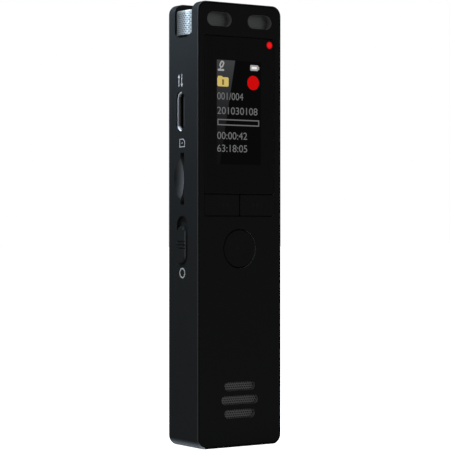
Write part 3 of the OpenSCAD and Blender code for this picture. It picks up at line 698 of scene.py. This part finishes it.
def joined(*pieces):
    """Joins pieces into the last one."""
    pick(*pieces)
    bpy.ops.object.join()
    return bpy.context.object


def stand_on_front(piece, x, y, z):
    """Stands a flat piece up, facing the front."""
    piece.rotation_euler = (math.radians(90), 0, 0)
    piece.location = (x, y, z)
    apply_place(piece)
    return piece


def stand_on_left(piece, x, y, z):
    """Stands a flat piece up, facing the left side."""
    piece.rotation_euler = (math.radians(90), 0, math.radians(-90))
    piece.location = (x, y, z)
    apply_place(piece)
    return piece


def finished(piece, name, material, body=BODY, replaces=()):
    """Names a piece, gives it its finish and makes it ride on its body."""
    piece.name = name
    piece.data.name = name
    piece.data.materials.clear()
    piece.data.materials.append(material)
    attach(piece, body)
    if replaces:
        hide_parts(*replaces)
    return piece


def figures(words, width, height, thickness):
    """Figures in the plane, fitted to that width and height, from the lower left corner."""
    deselect()
    bpy.ops.object.text_add()
    text = bpy.context.object
    text.data.body = words
    text.data.extrude = 0.5
    pick(text)
    bpy.ops.object.convert(target="MESH")
    piece = bpy.context.object
    low = Vector(min(c[i] for c in piece.bound_box) for i in range(3))
    size = piece.dimensions
    piece.scale = (width / size.x, height / size.y, thickness / size.z)
    piece.location = [-low[i] * piece.scale[i] for i in range(3)]
    apply_place(piece)
    return piece


def perforated_sheet(pitch, row, bar, depth, columns, rows, slots=False):
    """A sheet in X and Y of six-sided cells, each with a hole whose wall runs down to its depth.

    For slots the cells are laid like bricks and their holes are long, with cut corners.
    """
    deselect()
    bpy.ops.mesh.primitive_circle_add(vertices=6, radius=pitch / math.sqrt(3), fill_type="NGON")
    piece = bpy.context.object
    if slots:
        edit(piece, "VERT")
        for side in (1, -1):
            choose(piece, "VERT", lambda point: point.y * side > 0)
            bpy.ops.transform.resize(value=(1, 0, 1))
        done()
    piece.scale = (1, row / (piece.dimensions.y if slots else pitch * SIX_SIDED), 1)
    apply_place(piece)
    edit(piece)
    bpy.ops.mesh.inset(thickness=bar / 2)
    if slots:
        corner = bar / 3
        hole_end = pitch / 2 - bar / 2
        choose(piece, "VERT", lambda point: abs(abs(point.x) - hole_end) < corner / 2)
        bpy.ops.mesh.bevel(offset=corner, segments=1, affect="VERTICES")
        choose(piece, "FACE", lambda point: point.length < corner / 2)
    bpy.ops.mesh.extrude_region_move(TRANSFORM_OT_translate={"value": (0, 0, -depth)})
    bpy.ops.mesh.delete(type="ONLY_FACE")
    done()
    steps = [(columns, (pitch, 0, 0)), (2, (pitch / 2, row, 0)), (math.ceil(rows / 2), (0, 2 * row, 0))]
    for count, step in steps:
        array = piece.modifiers.new("Array", "ARRAY")
        array.use_relative_offset = False
        array.use_constant_offset = True
        array.constant_offset_displace = step
        array.count = count
        array.use_merge_vertices = True
        array.merge_threshold = 0.001 * MM
    apply_modifiers(piece)
    return piece


# ---------------------------------------------------------------- pieces


class PieceOperator:
    """What the operators share"""

    bl_options = {"REGISTER", "UNDO"}


class RECORDER_OT_outer_finish(PieceOperator, bpy.types.Operator):
    """Finishes the case, the front panel, the lens and the keys"""

    bl_idname = "recorder.outer_finish"
    bl_label = "Outer finish"

    screen_left = -6.3 * MM
    screen_right = 5.75 * MM
    screen_height = 23.4 * MM
    screen_inset = 5.4 * MM
    glare_top = -1.33 * MM
    glare_bottom = -5.5 * MM

    def case_paint(self, x, y, z):
        """Painted highlights on the front bevel and the window walls, the black front edge, painted shade and
        a painted highlight in the scoop, and a painted reflection on the lower left corner.
        """
        case = bpy.context.scene.recorder_case
        low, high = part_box("case_shell")
        sideways = x.math("ABSOLUTE", x)
        # Painted highlight on the front chamfer.
        bevel = y < low.y + 0.16 * MM
        front = y < low.y + 0.01 * MM
        # Painted shade darkens the finger scoop, and a painted highlight grows towards its front and its
        # middle height.
        scoop = (x > low.x + 0.02 * MM) * (x < low.x + 1.5 * MM) * (y > SCOOP_FRONT - 0.02 * MM)
        along = (z - SCOOP_Z) / SCOOP_R
        height = (1 - along * along).clamped()
        across = ((SCOOP_REAR - y) / (SCOOP_REAR - SCOOP_FRONT)).clamped()
        scoop = scoop * (height > 0.0)
        # Painted highlight on the walls of the microphone windows.
        window = (z > high.z - 6.5 * MM) * (sideways < 9.2 * MM)
        window = window * (y > PANEL_BACK - 0.02 * MM) * (y < CHANNEL_FRONT - 0.06 * MM)
        # Painted reflection on the lower left corner, strongest at the bottom.
        foot = ((1.9 * MM - z) / (1.9 * MM)).clamped() * (x < low.x + 2.0 * MM)
        return [
            (bevel, case.bevel),
            (front, case.panel),
            (scoop, dimmed(case.metal, 0.6)),
            (scoop * height * across * across, case.card_grey_and_scoop_highlight),
            (window, case.opening_wall_highlight),
            (foot * foot, case.foot),
        ]

    def slider_highlight_paint(self, x, y, z):
        """A painted highlight on the slider's front bevel."""
        case = bpy.context.scene.recorder_case
        low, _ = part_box("record_slider")
        return [((y < low.y + 0.25 * MM) * (x < low.x + 0.4 * MM), case.bevel)]

    def execute(self, context):
        case = context.scene.recorder_case
        dress(anodised_metal("case_metal", case.metal, case.metal_roughness, self.case_paint), "case_shell")
        control = anodised_metal("control_metal", case.control, case.metal_roughness)
        dress(control, "menu_key", "volume_up_key", "volume_down_key")
        slider = anodised_metal("slider_metal", case.control, case.metal_roughness, self.slider_highlight_paint)
        dress(slider, "record_slider")
        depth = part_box("front_panel")[0].y + 0.15 * MM
        panel = satin_plastic(
            "panel_plastic", case.panel, case.panel_roughness, depth=depth, edge=case.opening_wall_highlight
        )
        dress(panel, "front_panel")
        dress(
            satin_plastic("key_plastic", case.key, case.panel_roughness - 0.05),
            "back_key",
            "forward_key",
            "play_key",
        )
        screen_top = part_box("display_lens")[1].z - self.screen_inset
        window = display_window(
            "display_window",
            case.lens,
            (self.screen_left, screen_top - self.screen_height),
            (self.screen_right, screen_top),
            self.glare_top,
            self.glare_bottom,
        )
        dress(window, "display_lens")
        return {"FINISHED"}


class RECORDER_OT_inner_finish(PieceOperator, bpy.types.Operator):
    """Finishes the pieces inside the case"""

    bl_idname = "recorder.inner_finish"
    bl_label = "Inner finish"

    def execute(self, context):
        steel = stamped_steel("plated_steel", linear(200, 203, 206))
        dress(steel, "frame_screws", "card_socket", "switch_housing")
        dress(port_steel("port_steel", linear(225, 227, 228), *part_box("usb_shell")), "usb_shell")
        keys = ["back", "forward", "play", "menu", "volume_up", "volume_down"]
        dress(steel, *[key + "_switch" for key in keys])
        black = moulded("contact_plastic", linear(22, 22, 23), 0.4)
        dress(black, "usb_tongue", "headphone_jack", "switch_lever", *[key + "_plunger" for key in keys])
        dress(moulded("frame_plastic", linear(34, 34, 36)), "mid_frame")
        dress(moulded("screen_glass", linear(12, 12, 14), 0.08), "display_glass")
        dress(moulded("reflector_white", linear(232, 232, 228)), "display_backlight")
        dress(moulded("ribbon_film", linear(168, 102, 34), 0.35), "display_flex")
        dress(moulded("connector_plastic", linear(216, 210, 192)), "display_connector")
        dress(circuit_board("board_mask", linear(22, 84, 50)), "main_board", "battery_board")
        dress(moulded("chip_resin", linear(26, 26, 28), 0.6), "main_chip", "memory_chip")
        dress(foil_pouch("pouch_foil", linear(190, 194, 200)), "battery_cell")
        dress(closed_foam("foam", linear(36, 36, 36)), "battery_pad", "speaker_gasket")
        dress(moulded("lead_insulation", linear(168, 28, 26), 0.45), "battery_leads")
        dress(moulded("basket_plastic", linear(52, 54, 57)), "speaker_basket")
        dress(moulded("cone_film", linear(30, 30, 31), 0.25), "speaker_cone")
        dress(stamped_steel("capsule_can", linear(168, 171, 174)), "mic_capsule_left", "mic_capsule_right")
        dress(closed_foam("boot_rubber", linear(26, 26, 26)), "mic_boot_left", "mic_boot_right")
        dress(stamped_steel("gold_plate", linear(212, 170, 88), 0.25), "mic_leads")
        dress(moulded("lamp_body", linear(228, 222, 204)), "led_chip")
        return {"FINISHED"}


class RECORDER_OT_mic_mesh(PieceOperator, bpy.types.Operator):
    """Makes the perforated cage over the microphones, its rim and its lining"""

    bl_idname = "recorder.mic_mesh"
    bl_label = "Microphone mesh"

    corner = 2.2 * MM
    # Where the cage's painted shade starts and ends along y, and the share of its colour left at the rear.
    shade_from = -1.8 * MM
    shade_to = 1.6 * MM
    shade_share = 0.2

    def outline(self, width, depth, corner):
        """The cage's rounded outline as a flat face."""
        return plate(width, depth, corner, segments=10)

    def sheet(self, settings, columns, rows):
        """A flat piece of the perforated sheet."""
        return perforated_sheet(
            settings.cage_pitch,
            settings.cage_row,
            settings.cage_bar,
            settings.cage_sheet,
            columns,
            rows,
            slots=True,
        )

    def wall(self, low, high, settings):
        """The upright perforated sheet, wrapped round the outline."""
        height = high.z - low.z - settings.cage_rim * 0.6
        path = self.outline(high.x - low.x, high.y - low.y, self.corner)
        edit(path)
        bpy.ops.mesh.delete(type="ONLY_FACE")
        done()
        corners = [vertex.co for vertex in path.data.vertices]
        sides = [(corners[edge.vertices[0]], corners[edge.vertices[1]]) for edge in path.data.edges]
        around = sum((start - end).length for start, end in sides)
        columns = round(around / settings.cage_pitch)
        rows = math.ceil(height / settings.cage_row)
        sheet = self.sheet(settings, columns, rows)
        sheet.scale = (around / (columns * settings.cage_pitch), 1, 1)
        sheet.rotation_euler = (math.radians(90), 0, 0)
        sheet.location = (settings.cage_pitch, 0, settings.cage_row / 2)
        apply_place(sheet)
        edit(sheet)
        bpy.ops.mesh.bisect(plane_co=(0, 0, height), plane_no=(0, 0, 1), clear_outer=True)
        bpy.ops.mesh.select_all(action="SELECT")
        bpy.ops.mesh.bisect(plane_co=(0, 0, 0), plane_no=(0, 0, 1), clear_inner=True)
        done()
        pick(path)
        bpy.ops.object.convert(target="CURVE")
        path = bpy.context.object
        path.data.use_stretch = False
        path.data.use_deform_bounds = False
        wrap = sheet.modifiers.new("Wrap", "CURVE")
        wrap.object = path
        apply_modifiers(sheet)
        bpy.data.objects.remove(path)
        return sheet

    def top(self, low, high, settings):
        """The perforated sheet that closes the cage."""
        width, depth = high.x - low.x, high.y - low.y
        columns = math.ceil(width / settings.cage_pitch) + 1
        rows = math.ceil(depth / settings.cage_row) + 1
        sheet = self.sheet(settings, columns, rows)
        sheet.location = (
            -columns * settings.cage_pitch / 2,
            -rows * settings.cage_row / 2,
            high.z - low.z - 0.03 * MM,
        )
        apply_place(sheet)
        reach_x = width / 2 - self.corner
        reach_y = depth / 2 - self.corner
        keep = self.corner - settings.cage_rim * 0.6

        def outside(point):
            past = Vector((max(abs(point.x) - reach_x, 0), max(abs(point.y) - reach_y, 0)))
            return past.length > keep

        edit(sheet)
        choose(sheet, "VERT", outside)
        bpy.ops.mesh.delete(type="VERT")
        done()
        return sheet

    def rim(self, low, high, settings):
        """The plain rounded rim between the wall and the top."""
        height = high.z - low.z
        ring = self.outline(high.x - low.x, high.y - low.y, self.corner)
        edit(ring)
        bpy.ops.mesh.inset(thickness=settings.cage_rim)
        bpy.ops.mesh.delete(type="FACE")
        choose(ring, "EDGE", lambda point: self.on_outline(point, low, high))
        bpy.ops.mesh.extrude_edges_move(TRANSFORM_OT_translate={"value": (0, 0, -settings.cage_rim * 0.8)})
        choose(
            ring, "EDGE", lambda point: abs(point.z) < 0.01 * MM and self.on_outline(point, low, high)
        )
        bpy.ops.mesh.bevel(offset=settings.cage_rim * 0.7, segments=4, affect="EDGES")
        bpy.ops.mesh.select_all(action="SELECT")
        bpy.ops.mesh.normals_make_consistent(inside=False)
        done()
        ring.location = (0, 0, height)
        apply_place(ring)
        return ring

    def on_outline(self, point, low, high):
        """True on the outer edge of the outline."""
        reach_x = (high.x - low.x) / 2 - self.corner
        reach_y = (high.y - low.y) / 2 - self.corner
        past = Vector((max(abs(point.x) - reach_x, 0), max(abs(point.y) - reach_y, 0)))
        return past.length > self.corner - 0.05 * MM

    def lining(self, low, high, settings):
        """Dark cloth just inside the sheet."""
        gap = 0.16 * MM
        height = high.z - low.z - gap
        cloth = self.outline(high.x - low.x - 2 * gap, high.y - low.y - 2 * gap, self.corner - gap)
        thicken(cloth, height)
        return cloth

    def execute(self, context):
        settings = context.scene.recorder_mesh
        low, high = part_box("mic_cage")
        centre = ((low.x + high.x) / 2, (low.y + high.y) / 2, low.z)
        silver = cage_steel(
            "cage_metal", settings.cage_metal, 0.5, self.shade_from, self.shade_to, self.shade_share
        )
        parts = [self.top(low, high, settings), self.rim(low, high, settings), self.wall(low, high, settings)]
        mesh = joined(*parts)
        mesh.location = centre
        apply_place(mesh)
        edit(mesh)
        bpy.ops.mesh.remove_doubles(threshold=0.002 * MM)
        done()
        finished(mesh, "mic_mesh", silver, replaces=["mic_cage"])
        cloth = self.lining(low, high, settings)
        cloth.location = centre
        apply_place(cloth)
        finished(cloth, "mic_lining", woven_lining("lining_cloth", linear(34, 35, 36)))
        return {"FINISHED"}


class RECORDER_OT_window_gauze(PieceOperator, bpy.types.Operator):
    """Makes the dark gauze behind the two microphone windows, a sheet of painted shade that stands for the
    shaded cage behind them
    """

    bl_idname = "recorder.window_gauze"
    bl_label = "Window gauze"

    width = 6.8 * MM
    height = 3.2 * MM
    level = -4.25 * MM
    thickness = 0.02 * MM
    cloth_gap = 0.06 * MM

    def execute(self, context):
        settings = context.scene.recorder_mesh
        pitch = settings.gauze_pitch
        row = pitch * SIX_SIDED
        columns = math.ceil(self.width / pitch)
        rows = 2 * math.ceil(self.height / row / 2)
        # Painted shade: the gauze and the grey cloth behind it stand for the shaded cage seen through the
        # windows.
        dark = stamped_steel("gauze_shade_metal", settings.gauze_shade_metal, 0.5)
        backing = woven_lining("gauze_cloth", linear(74, 75, 75))
        for name, side in (("gauze_left", -1), ("gauze_right", 1)):
            gauze = perforated_sheet(pitch, row, settings.gauze_bar, self.thickness, columns, rows)
            across = columns * pitch / 2
            bottom = WINDOW_Z - (rows - 1) * row / 2
            stand_on_front(gauze, side * WINDOW_X - across, self.level, bottom)
            finished(gauze, name, dark)
            cloth = plate(columns * pitch, rows * row, thickness=self.thickness)
            stand_on_front(cloth, side * WINDOW_X, self.level + self.cloth_gap, WINDOW_Z)
            finished(cloth, name + "_cloth", backing)
        return {"FINISHED"}


class RECORDER_OT_speaker_grille(PieceOperator, bpy.types.Operator):
    """Makes the perforated grille behind the sound slots"""

    bl_idname = "recorder.speaker_grille"
    bl_label = "Speaker grille"

    middle_width = 10.2 * MM
    outer_narrower = 1.7 * MM
    strip_height = 1.9 * MM
    slot_step = 3.1 * MM
    forward = 0.5 * MM

    def execute(self, context):
        settings = context.scene.recorder_mesh
        low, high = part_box("speaker_mesh")
        level = low.y - self.forward
        pitch = settings.grille_pitch
        row = pitch * SIX_SIDED
        middle = (low + high) / 2
        sheets = []
        for slot in (-1, 0, 1):
            width = self.middle_width - self.outer_narrower * abs(slot)
            columns = round(width / pitch)
            rows = 2 * math.ceil(self.strip_height / row / 2)
            sheet = perforated_sheet(pitch, row, settings.grille_bar, settings.grille_sheet, columns, rows)
            across = (columns - 0.5) * pitch
            bottom = middle.z + slot * self.slot_step - (rows - 1) * row / 2
            sheets.append(stand_on_front(sheet, middle.x - across / 2, level, bottom))
        sheet = joined(*sheets)
        # Painted shade: the grille's metal is dark grey.
        grey = stamped_steel("grille_shade_metal", settings.grille_shade_metal, 0.5)
        finished(sheet, "speaker_grille", grey, replaces=["speaker_mesh"])
        return {"FINISHED"}


class RECORDER_OT_display_image(PieceOperator, bpy.types.Operator):
    """Makes what the display shows, and lights the record lamp"""

    bl_idname = "recorder.display_image"
    bl_label = "Display image"

    left = -6.2 * MM

    def lines(self, settings, level, material):
        """The four rows of figures."""
        rows = [
            ("counter", settings.counter, 7.05 * MM, 78.1 * MM),
            ("file", settings.file_number, 11.0 * MM, 74.85 * MM),
            ("elapsed", settings.elapsed, 8.15 * MM, 69.25 * MM),
            ("remaining", settings.remaining, 8.15 * MM, 66.4 * MM),
        ]
        for name, words, width, base in rows:
            piece = figures(words, width, settings.figure_height, settings.ink)
            stand_on_front(piece, self.left, level, base)
            finished(piece, "display_" + name, material)

    def progress_bar(self, settings, level, material):
        """The empty bar between the figures."""
        bar = outlined(plate(11.4 * MM, 1.42 * MM), 0.25 * MM, settings.ink)
        stand_on_front(bar, -0.43 * MM, level, 73.05 * MM)
        finished(bar, "display_bar", material)

    def microphone(self, settings, level, material):
        """A tilted microphone on its foot."""
        ink = settings.ink
        head = outlined(plate(1.1 * MM, 1.6 * MM, 0.5 * MM), 0.36 * MM, ink)
        shifted(head, 0.25 * MM, 0.35 * MM, math.radians(-24))
        stem = shifted(plate(0.24 * MM, 0.75 * MM, thickness=ink), -0.2 * MM, -0.62 * MM, math.radians(-24))
        foot = shifted(plate(1.7 * MM, 0.45 * MM, 0.1 * MM, ink), 0.0, -0.95 * MM)
        mark = joined(head, stem, foot)
        stand_on_front(mark, -5.2 * MM, level, 85.7 * MM)
        finished(mark, "display_microphone", material)

    def battery(self, settings, level, material, bright):
        """A charged battery."""
        ink = settings.ink
        case = outlined(plate(2.2 * MM, 1.3 * MM, 0.25 * MM), 0.38 * MM, ink)
        tip = shifted(plate(0.3 * MM, 0.7 * MM, 0.08 * MM, ink), 1.22 * MM)
        mark = joined(case, tip)
        stand_on_front(mark, 3.9 * MM, level, 85.6 * MM)
        finished(mark, "display_battery", material)
        charge = plate(1.44 * MM, 0.54 * MM, 0.1 * MM, ink)
        stand_on_front(charge, 3.9 * MM, level, 85.6 * MM)
        finished(charge, "display_charge", bright)

    def folder(self, settings, level, material, dark):
        """A folder with its number."""
        ink = settings.ink
        sleeve = plate(3.05 * MM, 2.1 * MM, 0.35 * MM, ink)
        tab = shifted(plate(1.3 * MM, 0.9 * MM, 0.25 * MM, ink), -0.75 * MM, 0.85 * MM)
        mark = joined(tab, sleeve)
        stand_on_front(mark, -4.65 * MM, level, 82.1 * MM)
        finished(mark, "display_folder", material)
        number = figures("1", 0.55 * MM, 1.25 * MM, ink)
        stand_on_front(number, -4.9 * MM, level - ink, 81.4 * MM)
        finished(number, "display_folder_number", dark)

    def execute(self, context):
        settings = context.scene.recorder_display
        low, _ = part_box("display_lens")
        level = low.y - 0.001 * MM
        text = lit("display_figures", settings.text, settings.brightness)
        pale = lit("display_pale", settings.light, settings.brightness)
        grey = lit("display_grey", settings.grey, settings.brightness)
        yellow = lit("display_yellow", settings.folder, settings.brightness)
        dark = lit("display_dark", linear(128, 104, 40), settings.brightness)
        red = lit("display_red", settings.record, settings.brightness)
        self.lines(settings, level, text)
        self.progress_bar(settings, level, text)
        self.microphone(settings, level, grey)
        self.battery(settings, level, grey, pale)
        self.folder(settings, level, yellow, dark)
        dot = disc(1.62 * MM, settings.ink, 48)
        stand_on_front(dot, 3.62 * MM, level, 82.2 * MM)
        finished(dot, "display_record", red)
        lamp_low, lamp_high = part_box("led_light_pipe")
        centre = ((lamp_low.x + lamp_high.x) / 2, (lamp_low.z + lamp_high.z) / 2)
        dress(lamp_lens("record_lamp", settings.lamp, centre), "led_light_pipe")
        return {"FINISHED"}


class RECORDER_OT_key_marks(PieceOperator, bpy.types.Operator):
    """Makes the moulded marks on the front keys"""

    bl_idname = "recorder.key_marks"
    bl_label = "Key marks"

    relief = 0.1 * MM
    middle = 54.5 * MM
    dish = 0.12 * MM

    def arrow(self, x, turn):
        """A solid triangle that points along X."""
        deselect()
        bpy.ops.mesh.primitive_circle_add(vertices=3, radius=0.85 * MM, fill_type="NGON")
        piece = bpy.context.object
        thicken(piece, self.relief)
        return shifted(piece, x, 0.0, math.radians(turn))

    def bar(self, x):
        """An upright bar."""
        return shifted(plate(0.3 * MM, 1.5 * MM, thickness=self.relief), x)

    def execute(self, context):
        proud = context.scene.recorder_marks.key_relief
        case = context.scene.recorder_case
        material = satin_plastic("key_mark", dimmed(case.key, 1.25), 0.3)
        for key, direction in (("back_key", 1), ("forward_key", -1)):
            low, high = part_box(key)
            turn = 90 * direction
            mark = joined(
                self.arrow(0.1 * MM * direction, turn),
                self.arrow(1.3 * MM * direction, turn),
                self.bar(-1.0 * MM * direction),
            )
            stand_on_front(mark, (low.x + high.x) / 2, low.y + self.relief - proud, self.middle)
            finished(mark, key + "_mark", material, key)
        low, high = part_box("play_key")
        mark = joined(self.arrow(-0.75 * MM, -90), self.bar(0.75 * MM), self.bar(1.4 * MM))
        level = low.y + self.dish + self.relief - proud
        stand_on_front(mark, (low.x + high.x) / 2, level, (low.z + high.z) / 2)
        finished(mark, "play_key_mark", material, "play_key")
        return {"FINISHED"}


class RECORDER_OT_side_marks(PieceOperator, bpy.types.Operator):
    """Makes the printed marks on the left side"""

    bl_idname = "recorder.side_marks"
    bl_label = "Side marks"

    def transfer_arrow(self, x, turn, settings):
        """A small arrow, up or down."""
        shaft = shifted(plate(settings.line, 2.0 * MM, thickness=settings.print_height), 0.0, -0.35 * MM)
        deselect()
        bpy.ops.mesh.primitive_circle_add(vertices=3, radius=0.5 * MM, fill_type="NGON")
        head = bpy.context.object
        thicken(head, settings.print_height)
        shifted(head, 0.0, 0.95 * MM)
        return shifted(joined(head, shaft), x, 0.0, math.radians(turn))

    def card(self, settings):
        """Outline of a memory card, one corner cut."""
        piece = plate(2.2 * MM, 1.9 * MM)
        edit(piece, "VERT")
        choose(piece, "VERT", lambda point: point.x > 0 and point.y > 0)
        bpy.ops.mesh.bevel(offset=0.6 * MM, segments=1, affect="VERTICES")
        done()
        outline = outlined(piece, 0.17 * MM, settings.print_height)
        return joined(disc(0.16 * MM, settings.print_height, 16), outline)

    def execute(self, context):
        settings = context.scene.recorder_marks
        low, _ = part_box("case_shell")
        side = low.x
        ink = printed_ink("side_print", settings.print_colour)
        arrows = joined(
            self.transfer_arrow(-0.6 * MM, 0, settings), self.transfer_arrow(0.6 * MM, 180, settings)
        )
        stand_on_left(arrows, side, 1.1 * MM, 82.5 * MM)
        finished(arrows, "port_mark", ink)
        card = self.card(settings)
        stand_on_left(card, side, 0.35 * MM, 68.45 * MM)
        finished(card, "card_mark", ink)
        ring = outlined(disc(1.2 * MM), 0.34 * MM, settings.print_height)
        stand_on_left(ring, side, 0.28 * MM, 39.2 * MM)
        finished(ring, "slider_mark", ink)
        return {"FINISHED"}


class RECORDER_OT_card_end(PieceOperator, bpy.types.Operator):
    """Makes the end of the memory card that shows in its slit"""

    bl_idname = "recorder.card_end"
    bl_label = "Card end"

    thickness = 1.42 * MM
    width = 9.6 * MM
    reach = 0.9 * MM
    bevel = 0.12 * MM
    proud = 0.4 * MM
    middle_y = 0.33 * MM

    def execute(self, context):
        low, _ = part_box("card_socket")
        card = plate(self.thickness, self.width, 0.3 * MM, self.reach, segments=3)
        edit(card)
        choose(card, "EDGE", lambda point: point.z < 0.01 * MM)
        bpy.ops.mesh.bevel(offset=self.bevel, segments=2, affect="EDGES")
        done()
        card.rotation_euler = (math.radians(90), 0, math.radians(90))
        card.location = (low.x - self.proud, self.middle_y, SCOOP_Z)
        apply_place(card)
        resin = satin_plastic("card_resin", context.scene.recorder_case.card_grey_and_scoop_highlight, 0.45)
        finished(card, "card_end", resin)
        return {"FINISHED"}


class RECORDER_OT_port_contacts(PieceOperator, bpy.types.Operator):
    """Makes the gold contacts on the charging port's tongue"""

    bl_idname = "recorder.port_contacts"
    bl_label = "Port contacts"

    contacts: IntProperty(name="Contacts", description="Contacts on each face", default=12, min=1)
    pitch: length("Pitch", "Distance between contacts", 0.5)

    contact_l = 2.6 * MM
    contact_w = 0.26 * MM
    contact_corner = 0.05 * MM
    thickness = 0.74 * MM
    inset = 1.9 * MM

    def execute(self, context):
        low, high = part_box("usb_tongue")
        strip = plate(self.contact_l, self.contact_w, self.contact_corner, self.thickness, segments=2)
        array = strip.modifiers.new("Array", "ARRAY")
        array.use_relative_offset = False
        array.use_constant_offset = True
        array.constant_offset_displace = (0, self.pitch, 0)
        array.count = self.contacts
        apply_modifiers(strip)
        strip.rotation_euler = (math.radians(90), 0, 0)
        strip.location = (
            low.x + self.inset,
            (low.y + high.y) / 2 + self.thickness / 2,
            (low.z + high.z) / 2 - (self.contacts - 1) * self.pitch / 2,
        )
        apply_place(strip)
        # The gold is dimmed: painted shade inside the port.
        finished(strip, "port_contacts", stamped_steel("contact_gold", linear(128, 102, 54), 0.3))
        return {"FINISHED"}


# ---------------------------------------------------------------- studio


class RECORDER_OT_studio(PieceOperator, bpy.types.Operator):
    """Makes the floor, the surround, the lamps and the camera"""

    bl_idname = "recorder.studio"
    bl_label = "Studio"

    def softbox(self, name, target, direction, distance, size, power, tint=(1.0, 1.0, 1.0)):
        """A square lamp that looks at a point of the recorder."""
        azimuth, elevation = (math.radians(angle) for angle in direction)
        back = Vector(
            (
                math.sin(azimuth) * math.cos(elevation),
                -math.cos(azimuth) * math.cos(elevation),
                math.sin(elevation),
            )
        )
        lamp = bpy.data.lights.new(name, "AREA")
        lamp.shape = "RECTANGLE"
        lamp.size, lamp.size_y = size
        lamp.energy = power
        lamp.color = tint
        piece = bpy.data.objects.new(name, lamp)
        piece.location = target + back * distance
        piece.rotation_euler = (-back).to_track_quat("-Z", "Y").to_euler()
        bpy.context.scene.collection.objects.link(piece)
        return piece

    def floor(self, settings):
        """A floor that the camera sees as plain white."""
        deselect()
        bpy.ops.mesh.primitive_plane_add(size=6)
        piece = bpy.context.object
        piece.name = "floor"
        finish = Finish("floor_white")
        seen = self.seen_directly(finish)
        diffuse = finish.node("ShaderNodeBsdfDiffuse", inputs={"Color": opaque(settings.floor)})
        glow = finish.node("ShaderNodeEmission", inputs={"Color": (1, 1, 1, 1), "Strength": seen})
        both = finish.node("ShaderNodeAddShader", inputs={0: diffuse, 1: glow})
        finish.made("ShaderNodeOutputMaterial", inputs={"Surface": both})
        piece.data.materials.append(finish.material)

    def seen_directly(self, finish):
        """1 for rays from the camera, from gloss and through glass."""
        paths = finish.node("ShaderNodeLightPath").output.node.outputs
        camera, gloss, glass = (
            Value(finish, paths[name])
            for name in ("Is Camera Ray", "Is Glossy Ray", "Is Transmission Ray")
        )
        return (camera + gloss + glass).clamped()

    def surround(self, settings):
        """White to the camera, dim to everything else."""
        world = bpy.data.worlds.new("surround")
        bpy.context.scene.world = world
        finish = Finish("surround", world)
        strength = settings.ambient + (1 - settings.ambient) * self.seen_directly(finish)
        sky = finish.node("ShaderNodeBackground", inputs={"Color": (1, 1, 1, 1), "Strength": strength})
        finish.made("ShaderNodeOutputWorld", inputs={"Surface": sky})

    def camera(self, settings):
        """A level camera at the recorder's middle height."""
        data = bpy.data.cameras.new("camera")
        data.lens = settings.camera_lens
        data.sensor_width = 36
        data.clip_start = 0.01
        data.clip_end = 20
        piece = bpy.data.objects.new("camera", data)
        bpy.context.scene.collection.objects.link(piece)
        azimuth = settings.camera_azimuth
        back = Vector((math.sin(azimuth), -math.cos(azimuth), 0))
        piece.location = back * settings.camera_distance + Vector((0, 0, settings.camera_height))
        piece.rotation_euler = (-back).to_track_quat("-Z", "Y").to_euler()
        bpy.context.scene.camera = piece

    def execute(self, context):
        settings = context.scene.recorder_studio
        context.scene.view_settings.view_transform = "Standard"
        self.floor(settings)
        self.surround(settings)
        self.camera(settings)
        top = Vector((-11.4 * MM, 0, 90 * MM))
        near = self.softbox("side_light", top, (-97, 46), 0.056, (0.01, 0.01), 0.17, (0.67, 0.81, 1.0))
        near.visible_camera = False
        self.softbox("left_softbox", MIDDLE, (-60, 8), 0.8, (0.4, 0.4), 0.5)
        self.softbox("front_softbox", MIDDLE, (-10, 50), 0.9, (0.6, 0.6), 0.8)
        return {"FINISHED"}


# ---------------------------------------------------------------- add-on


OPERATORS = [
    RECORDER_OT_outer_finish,
    RECORDER_OT_inner_finish,
    RECORDER_OT_mic_mesh,
    RECORDER_OT_window_gauze,
    RECORDER_OT_speaker_grille,
    RECORDER_OT_display_image,
    RECORDER_OT_key_marks,
    RECORDER_OT_side_marks,
    RECORDER_OT_card_end,
    RECORDER_OT_port_contacts,
    RECORDER_OT_studio,
]


class RECORDER_PT_sidebar(bpy.types.Panel):
    """Lists the recorder's settings and pieces"""

    bl_idname = "RECORDER_PT_sidebar"
    bl_label = "Recorder"
    bl_space_type = "VIEW_3D"
    bl_region_type = "UI"
    bl_category = "Recorder"

    def draw(self, context):
        for pointer in SETTINGS:
            box = self.layout.box()
            group = getattr(context.scene, pointer)
            for name in group.__annotations__:
                box.prop(group, name)
        for operator in OPERATORS:
            self.layout.operator(operator.bl_idname)


CLASSES = [*SETTINGS.values(), *OPERATORS, RECORDER_PT_sidebar]


def register():
    for item in CLASSES:
        bpy.utils.register_class(item)
    for pointer, group in SETTINGS.items():
        setattr(bpy.types.Scene, pointer, PointerProperty(type=group))


def unregister():
    for pointer in SETTINGS:
        delattr(bpy.types.Scene, pointer)
    for item in reversed(CLASSES):
        bpy.utils.unregister_class(item)


def main():
    register()
    for operator in OPERATORS:
        group, name = operator.bl_idname.split(".")
        getattr(getattr(bpy.ops, group), name)()
    deselect()


if __name__ == "__main__":
    main()
